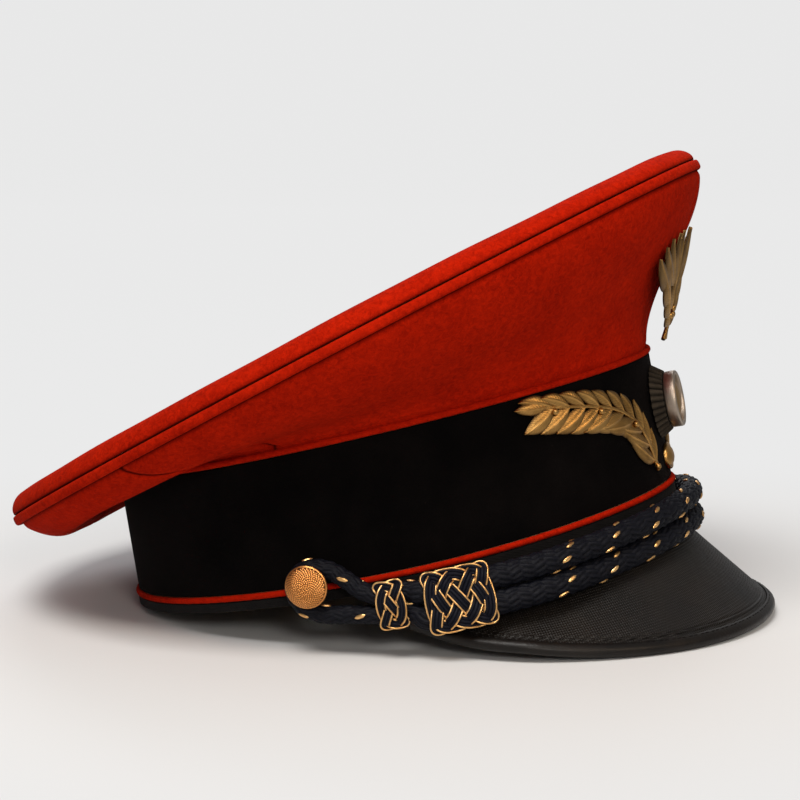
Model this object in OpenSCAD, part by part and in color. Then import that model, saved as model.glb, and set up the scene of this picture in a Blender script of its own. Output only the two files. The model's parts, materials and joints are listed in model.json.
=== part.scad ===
// Military peaked cap: felt crown, velvet band, visor, chin cords with knots, buttons and badges.
// Everything is drawn in the cap's own frame (origin at the middle of the lower piping, +X to the
// front, +Z square to the band) and then tipped back so that it rests on a table.

/* [Band] */
// Half length of the band's outside oval, front to back
band_a = 103; // [100:0.5:106]
// Half width of the band's outside oval
band_b = 85; // [82:0.5:88]
// Height of the band at its sides
band_h = 48; // [45:1:51]
// How much narrower the oval is towards the front
egg_k = 0.097; // [0.05:0.01:0.12]
// Rise of the lower piping over the visor
front_rise = 5; // [3:0.5:6]
// Height of the hem below the lower piping
hem_h = 4.7; // [4:0.1:5.5]

/* [Crown] */
// Half length of the crown's edge seam
crown_a = 145; // [142:0.5:148]
// Half width of the crown's edge seam
crown_b = 122; // [119:0.5:125]
// Slope of the crown's edge, front up
crown_tilt = 17; // [16:0.5:18]
// Height of the crown's edge above the lower piping, at the middle
crown_z = 74; // [72:0.5:76]
// Thickness of the felt
felt = 1.8; // [1.4:0.1:2]

/* [Visor] */
// Length of the visor at the front
visor_len = 49.7; // [46:0.1:52]
// Slope of the visor at the front, below the horizontal
visor_slope = 56; // [55:0.5:58]
// Thickness of the visor board
visor_t = 1.6; // [1.4:0.1:1.8]

/* [Cords and knots] */
// Radius of a chin cord
cord_r = 4.3; // [4:0.1:4.3]
// Radius of the cord in the side loops
loop_r = 3.2; // [3:0.1:3.2]
// Position of a side button round the oval, from the front
button_phi = 96; // [95:0.5:97]
// Position of a sliding knot round the oval, from the front
slide_phi = 70; // [69:0.5:71]
// Position of a fixed knot round the oval, from the front
tie_phi = 81.8; // [81.5:0.1:82]

/* [Badges] */
// Height of the crown badge
crest_h = 42; // [38:1:44]
// Half width of the crown badge
crest_w = 31; // [28:1:34]
// Height of the rosette's centre above the lower piping
rosette_z = 34.4; // [33:0.2:36]

/* [Hidden] */
// Tip of the cap on the table, nose up, and the table point that becomes the origin
rest_tilt = 11;
rest_x = 5.2;
rest_z = -24.45;
// Steps round a whole oval
steps = 60;
ring_phi = [for (i = [0:steps - 1]) i * 360 / steps];
// Slack between pieces that lie on each other
gap = 0.2;
// Layers of the band, as offsets from its outside face
cover_t = 1.4;
board_out = -1.7;
board_in = -2.9;
sweat_out = -3.9;
sweat_in = -5.1;
sweat_top = 35;
hem_out = 0.6;
flare_y = 2.9;
rear_lean = 2.5;
top_lean = 4.1;
piping_r = 1.1;
edging_r = 1.35;
// Rounding of the crown's shoulder
roll_r = 8;
roll_h = 8.7;
crown_sag = 1.5;
crown_x = -5.5;
bag_x = 12;
bag_a = 105;
bag_b = 104;
bag_h = 4.9;
welt_half = 2;
hoop_r = 1;
hoop_inset = 4.6;
lining_low = 37.2;
// Crown section: leaving angle at the edge, at the band, and handle lengths (front, side, rear)
edge_angle = [20, 25, 36];
band_angle = [88, 50, -28];
band_reach = [20, 12, 15];
edge_reach = [22, 22, 34];
// Side seams: angle at the band and at the crown's edge
seam_low = 98;
seam_high = 115;
half_seam = 0.08;
panel_ts = [for (j = [0:8]) j / 8];
// Visor
visor_phi = 88.3;
visor_top = -5;
splay = 1.06;
visor_end = 79.4;
visor_steps = 44;
visor_ts = [0, 0.1, 0.2, 0.3, 0.5, 0.75, 0.97];
// Section of the rim's binding: outwards from the rim, and up from the middle of the boards
BINDING = [[-2.6, 1.7], [-1.4, 2.1], [0.4, 2.1], [1.8, 1], [1.8, -1], [0.4, -2.1], [-1.4, -2.1],
    [-2.6, -1.7], [-2.6, -1.5], [0.2, -1.5], [0.2, 1.5], [-2.6, 1.5]];
// Foot and head of the crown badge's back, its pins, and the stretch of the band that a spray covers
crest_foot = [110.2, 56];
crest_head = [127.6, 96];
crest_pin_y = 6;
crest_pin_h = 33;
spray_from = 11;
spray_to = 51;
// Side loops
phi_per_mm = 1 / 1.8;
button_z = 2.6;
button_r = 7.5;
button_seat = 8.7;
shank_r = 0.8;
shank_hole_r = 1;
clip_off = -3.4;
// Angles round half the front at which a chin cord has a section; the last is where it ends
CORD_HALF = [2.25, 6.75, 11.25, 15.75, 20.25, 24.75, 29.25, 33.75, 38.25, 43, 48, 53, 57, 61, 65, 69, 73,
    75.9, 77, 78.2, 79.4, 81.1];
cord_phi = concat([for (i = [len(CORD_HALF) - 1:-1:0]) -CORD_HALF[i]], CORD_HALF);
// Route of a side loop: distance ahead of the button and height from it, in millimetres
LOOP = [[25.6, -7.2], [23.5, -7.2], [20.5, -7.0], [16.5, -4.4], [12.5, -0.4], [8.5, 3.2], [4.5, 5.1],
    [0.5, 5.4], [-3, 4], [-5.3, 1], [-5.8, -2.5], [-4.6, -6], [-1.6, -9], [2.5, -11], [7, -12],
    [11.5, -12.5], [16, -13.2], [20.5, -14], [23.5, -14.4], [25.6, -14.4]];
BLACK = [0.07, 0.06, 0.07];
RED = [0.72, 0.1, 0.06];
NAVY = [0.08, 0.09, 0.16];
BRASS = [0.75, 0.58, 0.32];
COPPER = [0.76, 0.46, 0.25];
SILVER = [0.7, 0.7, 0.7];
TAN = [0.62, 0.45, 0.28];
SATIN = [0.72, 0.55, 0.3];

// ---- Arithmetic ----

function lerp(a, b, t) = a + (b - a) * t;
function unit(v) = v / norm(v);
function ease(a, b, x) = let (t = min(max((x - a) / (b - a), 0), 1)) t * t * (3 - 2 * t);
// A value given at the front, the side and the rear, blended round the oval
function around(v, phi) = lerp(v[1], cos(phi) > 0 ? v[0] : v[2], pow(cos(phi), 2));
function bezier(p, t) = pow(1 - t, 3) * p[0] + 3 * pow(1 - t, 2) * t * p[1]
    + 3 * (1 - t) * t * t * p[2] + pow(t, 3) * p[3];
// A rounded rectangle's outline point, half sizes a and b, with n setting how square it is
function squircle(a, b, n, turn) = [a * sign(cos(turn)) * pow(abs(cos(turn)), 2 / n),
    b * sign(sin(turn)) * pow(abs(sin(turn)), 2 / n)];

// ---- Curves of the cap ----

function egg(phi) = [band_a * cos(phi), band_b * sin(phi) * (1 - egg_k * cos(phi))];
function egg_normal(phi) = unit([band_b * (cos(phi) * (1 - egg_k * cos(phi)) + egg_k * pow(sin(phi), 2)),
    band_a * sin(phi)]);
// Point off the band's outside face, square to it in plan
function wall(phi, off, z) = let (e = egg(phi), n = egg_normal(phi))
    [e.x + n.x * off + rear_lean * pow(min(cos(phi), 0), 2) * z / band_h,
     e.y + n.y * off + flare_y * sin(phi) * z / band_h, z];
function front(phi) = max(cos(phi), 0);
function low_z(phi) = front_rise * pow(front(phi), 2);
function top_z(phi) = band_h + top_lean * cos(phi);
// Point of the crown's edge plane: grown outwards by grow and raised by h square to that plane
function edge(phi, grow, h) = let (x = (crown_a + grow) * cos(phi))
    [crown_x + x * cos(crown_tilt) - h * sin(crown_tilt), (crown_b + grow) * sin(phi),
     crown_z + x * sin(crown_tilt) + h * cos(crown_tilt)];
function edge_up() = [-sin(crown_tilt), 0, cos(crown_tilt)];
function edge_in(phi) = let (u = unit([-cos(phi) * crown_b, -sin(phi) * crown_a]))
    [u.x * cos(crown_tilt), u.y, u.x * sin(crown_tilt)];
// Point of the crown's side, t from the band's top (0) to the crown's edge (1)
function side(phi, t) =
    let (low = wall(phi, -0.1, top_z(phi) + 3.1),
         leave = around(edge_angle, phi), rise = around(band_angle, phi),
         down = -edge_up() * cos(leave) + edge_in(phi) * sin(leave),
         high = edge(phi, 0, 0) + down * (welt_half + gap),
         n = egg_normal(phi),
         up = [n.x * cos(rise), n.y * cos(rise), sin(rise)])
    bezier([low, low + up * around(band_reach, phi), high + down * around(edge_reach, phi), high], t);
function side_normal(phi, t) = unit(cross(side(phi + 0.5, t) - side(phi - 0.5, t),
    side(phi, min(t + 0.01, 1)) - side(phi, max(t - 0.01, 0))));
function side_in(phi, t, depth) = side(phi, t) - side_normal(phi, t) * depth;
// Visor: direction in plan, length, slope, and points of its upper face, t from root to rim
function visor_dir(phi) = let (n = egg_normal(phi)) unit([n.x, n.y * splay]);
function visor_reach(phi) = visor_len * pow(max(1 - pow(abs(phi) / visor_phi, 2.4), 0), 0.98);
function visor_fall(phi) = visor_slope + 24 * ease(58, 82, abs(phi));
function visor_at(phi, out, z) = let (e = egg(phi), d = visor_dir(phi)) [e.x + d.x * out, e.y + d.y * out, z];
function visor_bend(phi) = 0.13 + 0.36 * pow(sin(phi), 2) + 0.3 * pow(sin(phi), 6);
function visor_face(phi, t, depth) =
    let (reach = visor_reach(phi), fall = visor_fall(phi),
         out = reach * cos(fall), down = reach * sin(fall),
         bend = visor_bend(phi), corner = visor_top - down * bend,
         slope = atan2(down * (1 - bend), max(out, 0.01)),
         s = min(max((t - 0.2) / 0.8, 0), 1),
         flat = min(t / 0.2, 1))
    t < 0.2 ? visor_at(phi, -0.3 - depth, lerp(visor_top, corner - depth * 0.5, flat))
        : visor_at(phi, lerp(-0.1, out, s) - depth * sin(slope), lerp(corner, visor_top - down, s)
            - depth * cos(slope));
// Chin cords: middle of the pair (offset from the band, height), tilt of the pair, half spacing
function pair_off(phi) = 5.45 + 3.05 * ease(35, 57, phi) - 1.9 * ease(75.9, 79.4, phi);
function pair_z(phi) = -10.75 + 5.4 * pow(front(phi), 4) + 2.5 * ease(75.9, 79.4, phi);
function pair_tilt(phi) = -6 + 16 * ease(35, 57, phi) - 10 * ease(75.9, 79.4, phi);
function pair_half(phi) = 4.45 - 0.95 * ease(75.9, 79.4, phi);
function pair_r(phi) = lerp(cord_r, loop_r, ease(75.9, 79.4, phi));
// Point near the pair: across it outwards and along it upwards
function near_pair(phi, out, up) = let (p = abs(phi), t = pair_tilt(p))
    wall(phi, pair_off(p) + out * cos(t) - up * sin(t), pair_z(p) + up * cos(t) + out * sin(t));

// ---- Solids from rows of points ----

// Skins a list of sections, each an even number of points round a closed outline. A clockwise
// outline, seen along the sections, is given as flip = true
module loft(sections, closed = false, flip = false) {
    n = len(sections);
    m = len(sections[0]);
    points = [for (s = sections) each (flip ? [for (j = [m - 1:-1:0]) s[j]] : s)];
    walls = [for (i = [0:n - (closed ? 1 : 2)], j = [0:m - 1])
        let (a = i * m + j, b = i * m + (j + 1) % m, c = ((i + 1) % n) * m + (j + 1) % m,
             d = ((i + 1) % n) * m + j)
        each [[a, c, b], [a, d, c]]];
    last = (n - 1) * m;
    ends = closed ? [] : [for (j = [0:m / 2 - 2])
        let (a = j, b = j + 1, c = m - 2 - j, d = m - 1 - j)
        each [[a, b, c], [a, c, d], [last + a, last + c, last + b], [last + a, last + d, last + c]]];
    polyhedron(points, concat(walls, ends));
}
// A tube along a path given as [point, outward direction, radius] rows
module tube(rows, sides) {
    n = len(rows);
    loft([for (i = [0:n - 1])
        let (before = rows[max(i - 1, 0)][0],
             after = rows[min(i + 1, n - 1)][0],
             along = unit(after - before),
             up = unit(cross(along, rows[i][1])), out = cross(up, along))
        [for (k = [0:sides - 1]) let (turn = 360 * (k + 0.5) / sides)
            rows[i][0] + rows[i][2] * (out * cos(turn) + up * sin(turn))]]);
}
module tipped() {
    translate([rest_x, 0, -rest_z]) rotate([0, -rest_tilt, 0]) children();
}
module at_wall(phi, off, z) {
    n = egg_normal(phi);
    translate(wall(phi, off, z)) rotate([0, 90, atan2(n.y, n.x)]) children();
}
module left() {
    mirror([0, 1, 0]) children();
}

// ---- Crown ----

module crown_top() {
    inner_r = roll_r - felt;
    inner_h = roll_h - felt;
    start = asin((welt_half + gap) / roll_h);
    inner_start = asin((welt_half + gap) / inner_h);
    turns = [0, 0.2, 0.4, 0.6, 0.8, 1];
    outer = [for (t = turns) let (a = lerp(start, 90, t)) [-roll_r * (1 - cos(a)), roll_h * sin(a)]];
    inner = [for (t = turns) let (a = lerp(inner_start, 90, t))
        [-felt - inner_r * (1 - cos(a)), inner_h * sin(a)]];
    flat = [0.2, 0.5, 0.8];
    color(RED) tipped() loft(concat(
        [for (f = flat) [for (phi = ring_phi) crown_disc(phi, f, roll_h - dip(f))]],
        [for (k = [len(outer) - 1:-1:0]) [for (phi = ring_phi) edge(phi, outer[k][0], outer[k][1])]],
        [for (p = inner) [for (phi = ring_phi) edge(phi, p[0], p[1])]],
        [for (k = [len(flat) - 1:-1:0]) let (f = flat[k])
            [for (phi = ring_phi) crown_disc(phi, f, inner_h - dip(f))]]), flip = true);
}
// Point of the crown's flat, f of the way out to the start of the shoulder
function crown_disc(phi, f, h) = let (p = edge(phi, -roll_r, h), c = edge(90, -crown_b, h)) lerp(c, p, f);
// Angle round the oval at height t, u of the way from one slanted seam to the next
function panel_phi(from, to, t, u) = lerp(lerp(from[0], from[1], t), lerp(to[0], to[1], t), u);
// A side panel between two seams, each given as [angle at the band, angle at the edge]
module crown_panel(from, to, count) {
    last = len(panel_ts) - 1;
    loft([for (i = [0:count]) let (u = i / count)
        concat([for (t = panel_ts) side(panel_phi(from, to, t, u), t)],
            [for (k = [last:-1:0]) let (t = panel_ts[k])
                side_in(panel_phi(from, to, t, u), t, felt)])], flip = true);
}
module crown_front_left() {
    color(RED) tipped() difference() {
        crown_panel([half_seam, half_seam], [seam_low - half_seam, seam_high - half_seam], 20);
        crest_pins(shank_hole_r, 1, 12);
    }
}
module crown_front_right() {
    left() crown_front_left();
}
module crown_rear_left() {
    color(RED) tipped()
        crown_panel([seam_low + half_seam, seam_high + half_seam], [180 - half_seam, 180 - half_seam], 15);
}
module crown_rear_right() {
    left() crown_rear_left();
}
module crown_welt() {
    color(RED) tipped() loft([for (phi = ring_phi)
        [for (k = [0:7]) let (p = squircle(1, welt_half, 2.4, 22.5 + k * 45)) edge(phi, -0.4 + p.x, p.y)]],
        true, true);
}
module crown_hoop() {
    color(SILVER) tipped() loft([for (phi = ring_phi)
        [for (k = [0:5]) edge(phi, -hoop_inset + hoop_r * cos(k * 60), 0.4 + hoop_r * sin(k * 60))]],
        true, true);
}
// Dip of the crown's middle, f of the way out to its shoulder
function dip(f) = crown_sag * (1 - f * f);
// Point of the lining's top, f of the way out to its rim, which stays inside the band at the rear
function bag(phi, f, h) = let (x = bag_x + bag_a * f * cos(phi))
    [crown_x + x * cos(crown_tilt) - h * sin(crown_tilt), bag_b * f * sin(phi),
     crown_z + x * sin(crown_tilt) + h * cos(crown_tilt)];
module crown_interlining() {
    low = roll_h - felt - 1.1;
    high = low + 0.8;
    fs = [0.2, 0.5, 0.8, 0.94];
    color("ivory") tipped() loft(concat(
        [for (f = fs) [for (phi = ring_phi) crown_disc(phi, f, high - dip(f))]],
        [for (k = [3:-1:0]) [for (phi = ring_phi) crown_disc(phi, fs[k], low - dip(fs[k]))]]), flip = true);
}
module lining_top() {
    fs = [0.25, 0.6, 1];
    color(SATIN) tipped() loft(concat(
        [for (f = fs) [for (phi = ring_phi) bag(phi, f, bag_h + 0.6 - dip(0.8 * f))]],
        [for (k = [2:-1:0]) [for (phi = ring_phi) bag(phi, fs[k], bag_h - dip(0.8 * fs[k]))]]), flip = true);
}
module lining_side() {
    rim = bag_h - dip(0.8) - gap;
    color(SATIN) tipped() loft([for (phi = ring_phi)
        [wall(phi, -3.3, lining_low), wall(phi, -4.8, top_z(phi) + 2.5), bag(phi, 1, rim),
         bag(phi, 0.993, rim), wall(phi, -5.4, top_z(phi) + 2.5), wall(phi, -3.8, lining_low)]], true, true);
}
module sweat_shield() {
    color([0.9, 0.9, 0.85, 0.5]) tipped() translate(bag(90, 0, bag_h - crown_sag - 0.8))
        rotate([0, -crown_tilt, 0]) linear_extrude(0.4) polygon([[75, 0], [0, 52], [-75, 0], [0, -52]]);
}
module front_stiffener() {
    ts = [for (j = [0:5]) lerp(0.06, 0.86, j / 5)];
    color("ivory") tipped() difference() {
        loft([for (i = [0:8]) let (phi = lerp(-20, 20, i / 8))
            concat([for (t = ts) side_in(phi, t, felt + 0.4)],
                [for (k = [5:-1:0]) side_in(phi, ts[k], felt + 1.4)])], flip = true);
        crest_pins(shank_hole_r, 1, 16);
    }
}

// ---- Band ----

// A ring of the band between two offsets, with its lower and upper heights at each ring angle
module ring_between(outer, inner, low, high) {
    loft([for (i = [0:steps - 1]) let (phi = ring_phi[i], a = low[i], b = high[i])
        [wall(phi, outer, a), wall(phi, outer, b), wall(phi, inner, b), wall(phi, inner, a)]], true, true);
}
module shank_hole() {
    cylinder(r = shank_hole_r, h = 6, $fn = 24);
}
module shank_holes() {
    for (s = [-1, 1]) at_wall(s * button_phi, -4, button_z) shank_hole();
    at_wall(0, -4, rosette_z) shank_hole();
}
module band_stiffener() {
    color("peru") tipped() difference() {
        ring_between(board_out, board_in, [for (p = ring_phi) 0.7 - hem_h],
            [for (p = ring_phi) top_z(p) - 2]);
        shank_holes();
    }
}
module band_cover() {
    color(BLACK) tipped() difference() {
        ring_between(0, -cover_t, [for (p = ring_phi) low_z(p) + piping_r + gap],
            [for (p = ring_phi) top_z(p) - gap]);
        shank_holes();
    }
}
module band_hem() {
    color(BLACK) tipped() ring_between(hem_out, -cover_t, [for (p = ring_phi) -hem_h],
        [for (p = ring_phi) low_z(p) - piping_r - gap]);
}
module piping(r, off, heights) {
    color(RED) tipped() loft([for (i = [0:steps - 1]) let (phi = ring_phi[i])
        [for (k = [0:7]) wall(phi, off + r * cos(k * 45), heights[i] + r * sin(k * 45))]], true, true);
}
module upper_piping() {
    piping(edging_r, 0, [for (p = ring_phi) top_z(p) + edging_r - 0.1]);
}
module lower_piping() {
    piping(piping_r, 0.1, [for (p = ring_phi) low_z(p)]);
}
module sweatband() {
    color(TAN) tipped() ring_between(sweat_out, sweat_in, [for (p = ring_phi) 1.1 - hem_h],
        [for (p = ring_phi) sweat_top]);
}
module sweatband_bow() {
    color(BLACK) tipped() at_wall(180, sweat_in - 1.1, 6) rotate([0, 180, 0])
        for (s = [-1, 1]) rotate([0, 0, s * 90])
            linear_extrude(0.8) polygon([[0, 0.8], [7, 3], [9, 0], [7, -3], [0, -0.8]]);
}

// ---- Visor ----

function visor_phi_at(i) = lerp(-visor_end, visor_end, i / visor_steps);
module visor_layer(top, bottom) {
    n = len(visor_ts);
    tipped() loft([for (i = [0:visor_steps]) let (phi = visor_phi_at(i))
        concat([for (t = visor_ts) visor_face(phi, t, top)],
            [for (k = [n - 1:-1:0]) visor_face(phi, visor_ts[k], bottom)])]);
}
module visor() {
    color([0.12, 0.1, 0.09]) visor_layer(0, visor_t);
}
module visor_lining() {
    color(TAN) visor_layer(visor_t + 0.3, visor_t + 0.8);
}
// U-shaped leather binding round the rim
module visor_binding() {
    color([0.1, 0.08, 0.07]) tipped() loft([for (i = [0:visor_steps])
        let (phi = visor_phi_at(i), e = visor_face(phi, 1, 0), r = visor_face(phi, 0.9, 0),
             d = unit(e - r), u = unit(cross(d, visor_face(phi + 1, 1, 0) - visor_face(phi - 1, 1, 0))),
             m = e - u * (visor_t / 2 + 0.4))
        [for (p = BINDING) m + d * p[0] + u * p[1]]]);
}

// ---- Chin cords, knots and buttons ----

function cord_rows(s) = [for (phi = cord_phi) let (p = abs(phi), n = egg_normal(phi))
    [near_pair(phi, 0, s * pair_half(p)), [n.x, n.y, 0], pair_r(p)]];
module chin_cord_upper() {
    color(NAVY) tipped() tube(cord_rows(1), 8);
}
module chin_cord_lower() {
    color(NAVY) tipped() tube(cord_rows(-1), 8);
}
module left_cord_loop() {
    rows = [for (p = LOOP) let (phi = button_phi - p[0] * phi_per_mm, n = egg_normal(phi))
        [wall(phi, 4.9 + 1.7 * ease(8, 22, p[0]), button_z + p[1]), [n.x, n.y, 0], loop_r]];
    color(NAVY) tipped() tube(rows, 8);
}
module right_cord_loop() {
    left() left_cord_loop();
}
// A sleeve round both strands: half width along the cord, passage and outside half sizes
module sleeve(phi, half, passage, outside, bulge) {
    us = [-1, -0.6, 0, 0.6, 1];
    tipped() loft([for (k = [0:23]) let (turn = k * 15, o = squircle(outside[0], outside[1], 3, turn),
            q = squircle(passage[0], passage[1], 4, turn))
        concat([for (u = us) let (f = 1 - bulge * u * u) near_pair(phi + u * half, o.x * f, o.y * f)],
            [for (j = [4:-1:0]) near_pair(phi + us[j] * half, q.x, q.y)])], true);
}
module left_fixed_knot() {
    color(NAVY) sleeve(tie_phi, 2.4, [loop_r + 0.5, 7.1], [4.9, 8.1], 0.04);
}
module right_fixed_knot() {
    left() left_fixed_knot();
}
module left_sliding_knot() {
    color(NAVY) sleeve(slide_phi, 5.8, [cord_r + 0.5, 9.3], [6.1, 10.4], 0.05);
}
module right_sliding_knot() {
    left() left_sliding_knot();
}
module left_button() {
    dome_h = 3.4;
    rim_h = 1;
    ball = (button_r * button_r + dome_h * dome_h) / (2 * dome_h);
    color(COPPER) tipped() at_wall(button_phi, 0, button_z) {
        translate([0, 0, button_seat]) rotate_extrude($fn = 48) {
            square([button_r, rim_h]);
            intersection() {
                translate([0, rim_h + dome_h - ball]) circle(r = ball, $fn = 96);
                translate([0, rim_h]) square([button_r, dome_h]);
            }
        }
        translate([0, 0, clip_off - 0.3]) cylinder(r = shank_r, h = button_seat - clip_off + 0.5, $fn = 24);
    }
}
module right_button() {
    left() left_button();
}
module clip() {
    rotate_extrude($fn = 32) translate([shank_r, 0]) square([1.2, 0.3]);
}
module left_button_clip() {
    color(SILVER) tipped() at_wall(button_phi, clip_off - 0.15, button_z) clip();
}
module right_button_clip() {
    left() left_button_clip();
}

// ---- Badges ----

// Crown badge: a curved plate of two leaf sprays, with scalloped edges
function crest_point(y, h, back) = let (d = unit(crest_head - crest_foot), s = abs(y))
    [crest_foot.x + d.x * h - d.y * back - s * s / 230, y, crest_foot.y + d.y * h + d.x * back];
function crest_low(s) = 29 * pow(s / crest_w, 0.75) + 0.9 * abs(sin(s * 30));
function crest_high(s) = crest_h - 7 * pow(s / crest_w, 2) - 0.9 * abs(sin(s * 30));
module crown_badge() {
    color(BRASS) tipped() loft([for (i = [0:40]) let (y = lerp(-crest_w, crest_w, i / 40), s = abs(y),
            low = crest_low(s), high = max(crest_high(s), low + 1))
        [crest_point(y, low, 0), crest_point(y, high, 0), crest_point(y, high, 1.2),
         crest_point(y, low, 1.2)]], flip = true);
}
// Two pins square to the crown badge, starting from its face
module crest_pins(r, from, length) {
    d = crest_head - crest_foot;
    for (s = [-1, 1]) translate(crest_point(s * crest_pin_y, crest_pin_h, from))
        rotate([0, atan2(d.x, d.y) - 90, 0]) cylinder(r = r, h = length, $fn = 16);
}
module crown_badge_prongs() {
    color(BRASS) tipped() crest_pins(0.6, 1.7, 9);
}
// Band badge: a curved leaf spray that follows the band
function spray_share(phi) = (phi - spray_from) / (spray_to - spray_from);
function spray_scallop(phi) = 1.2 * abs(sin((phi - spray_from) * 18));
function spray_high(phi) = lerp(46, 49, spray_share(phi)) - spray_scallop(phi);
function spray_low(phi) = lerp(11, 45, pow(spray_share(phi), 0.75)) - spray_scallop(phi);
module band_badge_left() {
    color(BRASS) tipped() loft([for (i = [0:40]) let (phi = lerp(spray_from, spray_to, i / 40))
        [wall(phi, 1.5, spray_low(phi)), wall(phi, 1.5, spray_high(phi)), wall(phi, 0.3, spray_high(phi)),
         wall(phi, 0.3, spray_low(phi))]], flip = true);
}
module band_badge_right() {
    left() band_badge_left();
}
module band_badge_centre() {
    color(BRASS) tipped() loft([for (i = [0:12]) let (phi = lerp(-5, 5, i / 12), f = pow(phi / 5, 2))
        [wall(phi, 2.2, 9 + 3 * f), wall(phi, 2.2, 19.5 - 3 * f), wall(phi, 0.3, 19.5 - 3 * f),
         wall(phi, 0.3, 9 + 3 * f)]], flip = true);
}
module at_rosette(off) {
    at_wall(0, off, rosette_z) children();
}
module rosette_pleats() {
    pleats = 28;
    color(BLACK) tipped() at_rosette(0.4) difference() {
        union() {
            cylinder(r1 = 13.6, r2 = 11, h = 4, $fn = 56);
            for (k = [0:pleats - 1]) rotate([0, 0, k * 360 / pleats])
                translate([11.8, 0, 0]) cylinder(r = 0.9, h = 3.4, $fn = 13);
        }
        translate([0, 0, -1]) shank_hole();
    }
}
module rosette_cup() {
    color(SILVER) tipped() at_rosette(4.6) difference() {
        cylinder(r = 10.2, h = 4.4, $fn = 64);
        translate([0, 0, 1]) cylinder(r = 8.8, h = 4, $fn = 64);
        translate([0, 0, -1]) shank_hole();
    }
}
module rosette_boss() {
    ball = 12;
    boss_h = 3.4;
    color(BRASS) tipped() at_rosette(5.8) intersection() {
        translate([0, 0, boss_h - ball]) sphere(r = ball, $fn = 64);
        cylinder(r = 8.1, h = boss_h + 1, $fn = 64);
    }
}
module rosette_pin() {
    color(BRASS) tipped() at_rosette(clip_off - 0.3) cylinder(r = shank_r, h = 5.8 - clip_off, $fn = 24);
}
module rosette_pin_clip() {
    color(SILVER) tipped() at_rosette(clip_off - 0.15) clip();
}

crown_top();
crown_front_right();
crown_front_left();
crown_rear_right();
crown_rear_left();
crown_welt();
crown_hoop();
crown_interlining();
front_stiffener();
lining_side();
lining_top();
sweat_shield();
band_stiffener();
band_cover();
band_hem();
upper_piping();
lower_piping();
sweatband();
sweatband_bow();
visor();
visor_lining();
visor_binding();
chin_cord_upper();
chin_cord_lower();
right_cord_loop();
left_cord_loop();
right_fixed_knot();
left_fixed_knot();
right_sliding_knot();
left_sliding_knot();
right_button();
left_button();
right_button_clip();
left_button_clip();
crown_badge();
crown_badge_prongs();
band_badge_right();
band_badge_left();
band_badge_centre();
rosette_pleats();
rosette_cup();
rosette_boss();
rosette_pin();
rosette_pin_clip();
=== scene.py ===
"""The looks of a military peaked cap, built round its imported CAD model.

Shapes are worked out in millimetres in the cap's own frame: origin at the middle of the lower piping, +X to
the front, +Y to the wearer's left, +Z square to the band. row() tips them back onto the table, in metres."""

import json
import math

import bmesh
import bpy
import numpy as np
from mathutils import Matrix, Vector


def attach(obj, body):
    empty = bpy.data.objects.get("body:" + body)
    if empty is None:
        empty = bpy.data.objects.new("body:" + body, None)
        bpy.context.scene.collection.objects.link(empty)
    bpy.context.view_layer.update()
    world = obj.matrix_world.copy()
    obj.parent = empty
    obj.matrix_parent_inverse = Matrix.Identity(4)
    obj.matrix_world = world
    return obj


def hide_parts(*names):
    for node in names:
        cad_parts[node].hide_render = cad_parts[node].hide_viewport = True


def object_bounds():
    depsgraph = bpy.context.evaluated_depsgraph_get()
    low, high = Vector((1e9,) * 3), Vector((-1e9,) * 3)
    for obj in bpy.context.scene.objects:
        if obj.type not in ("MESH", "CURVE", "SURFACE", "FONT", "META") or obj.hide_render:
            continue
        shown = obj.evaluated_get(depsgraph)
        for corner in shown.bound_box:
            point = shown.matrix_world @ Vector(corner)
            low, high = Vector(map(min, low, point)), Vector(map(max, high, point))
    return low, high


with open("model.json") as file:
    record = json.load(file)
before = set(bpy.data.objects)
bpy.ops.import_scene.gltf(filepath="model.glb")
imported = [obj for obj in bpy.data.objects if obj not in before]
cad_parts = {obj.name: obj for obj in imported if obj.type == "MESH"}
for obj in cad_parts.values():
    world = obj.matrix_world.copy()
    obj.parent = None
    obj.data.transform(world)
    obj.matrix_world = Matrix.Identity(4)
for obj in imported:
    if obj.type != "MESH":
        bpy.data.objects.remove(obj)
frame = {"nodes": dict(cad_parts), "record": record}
cad_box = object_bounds()

# ---- Sizes, in millimetres and degrees ----

BAND_A, BAND_B, BAND_H, EGG_K = 103.0, 85.0, 48.0, 0.097
FLARE, REAR_LEAN, TOP_LEAN, FRONT_RISE = 2.9, 2.5, 4.1, 5.0
HEM_H, HEM_OUT, COVER_T = 4.7, 0.6, 1.4
PIPING_R, EDGING_R, GAP = 1.1, 1.35, 0.2
SWEAT_OUT, SWEAT_IN, SWEAT_TOP = -3.9, -5.1, 35.0
CROWN_A, CROWN_B, CROWN_X, CROWN_Z, CROWN_TILT = 145.0, 122.0, -5.5, 74.0, 17.0
FELT, ROLL_R, ROLL_H, SAG, WELT_HALF = 1.8, 8.0, 8.7, 1.5, 2.0
EDGE_ANGLE, BAND_ANGLE = (20, 25, 36), (88, 50, -28)
BAND_REACH, EDGE_REACH = (20, 12, 15), (22, 22, 34)
SEAM_LOW, SEAM_HIGH, HALF_SEAM = 98.0, 115.0, 0.08
BAG_X, BAG_A, BAG_B, BAG_H, LINING_LOW = 12.0, 105.0, 104.0, 4.9, 37.2
VISOR_LEN, VISOR_SLOPE, VISOR_T, VISOR_PHI, VISOR_END, VISOR_TOP, SPLAY = \
    49.7, 56.0, 1.6, 88.3, 79.4, -5.0, 1.06
CORD_R, LOOP_R, PHI_PER_MM, CORD_END = 4.3, 3.2, 1 / 1.8, 81.1
BUTTON_PHI, BUTTON_Z, BUTTON_R, BUTTON_SEAT, SHANK_R, CLIP_OFF = 96.0, 2.6, 7.5, 8.7, 0.8, -3.4
SLIDE_PHI, TIE_PHI = 70.0, 81.8
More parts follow.
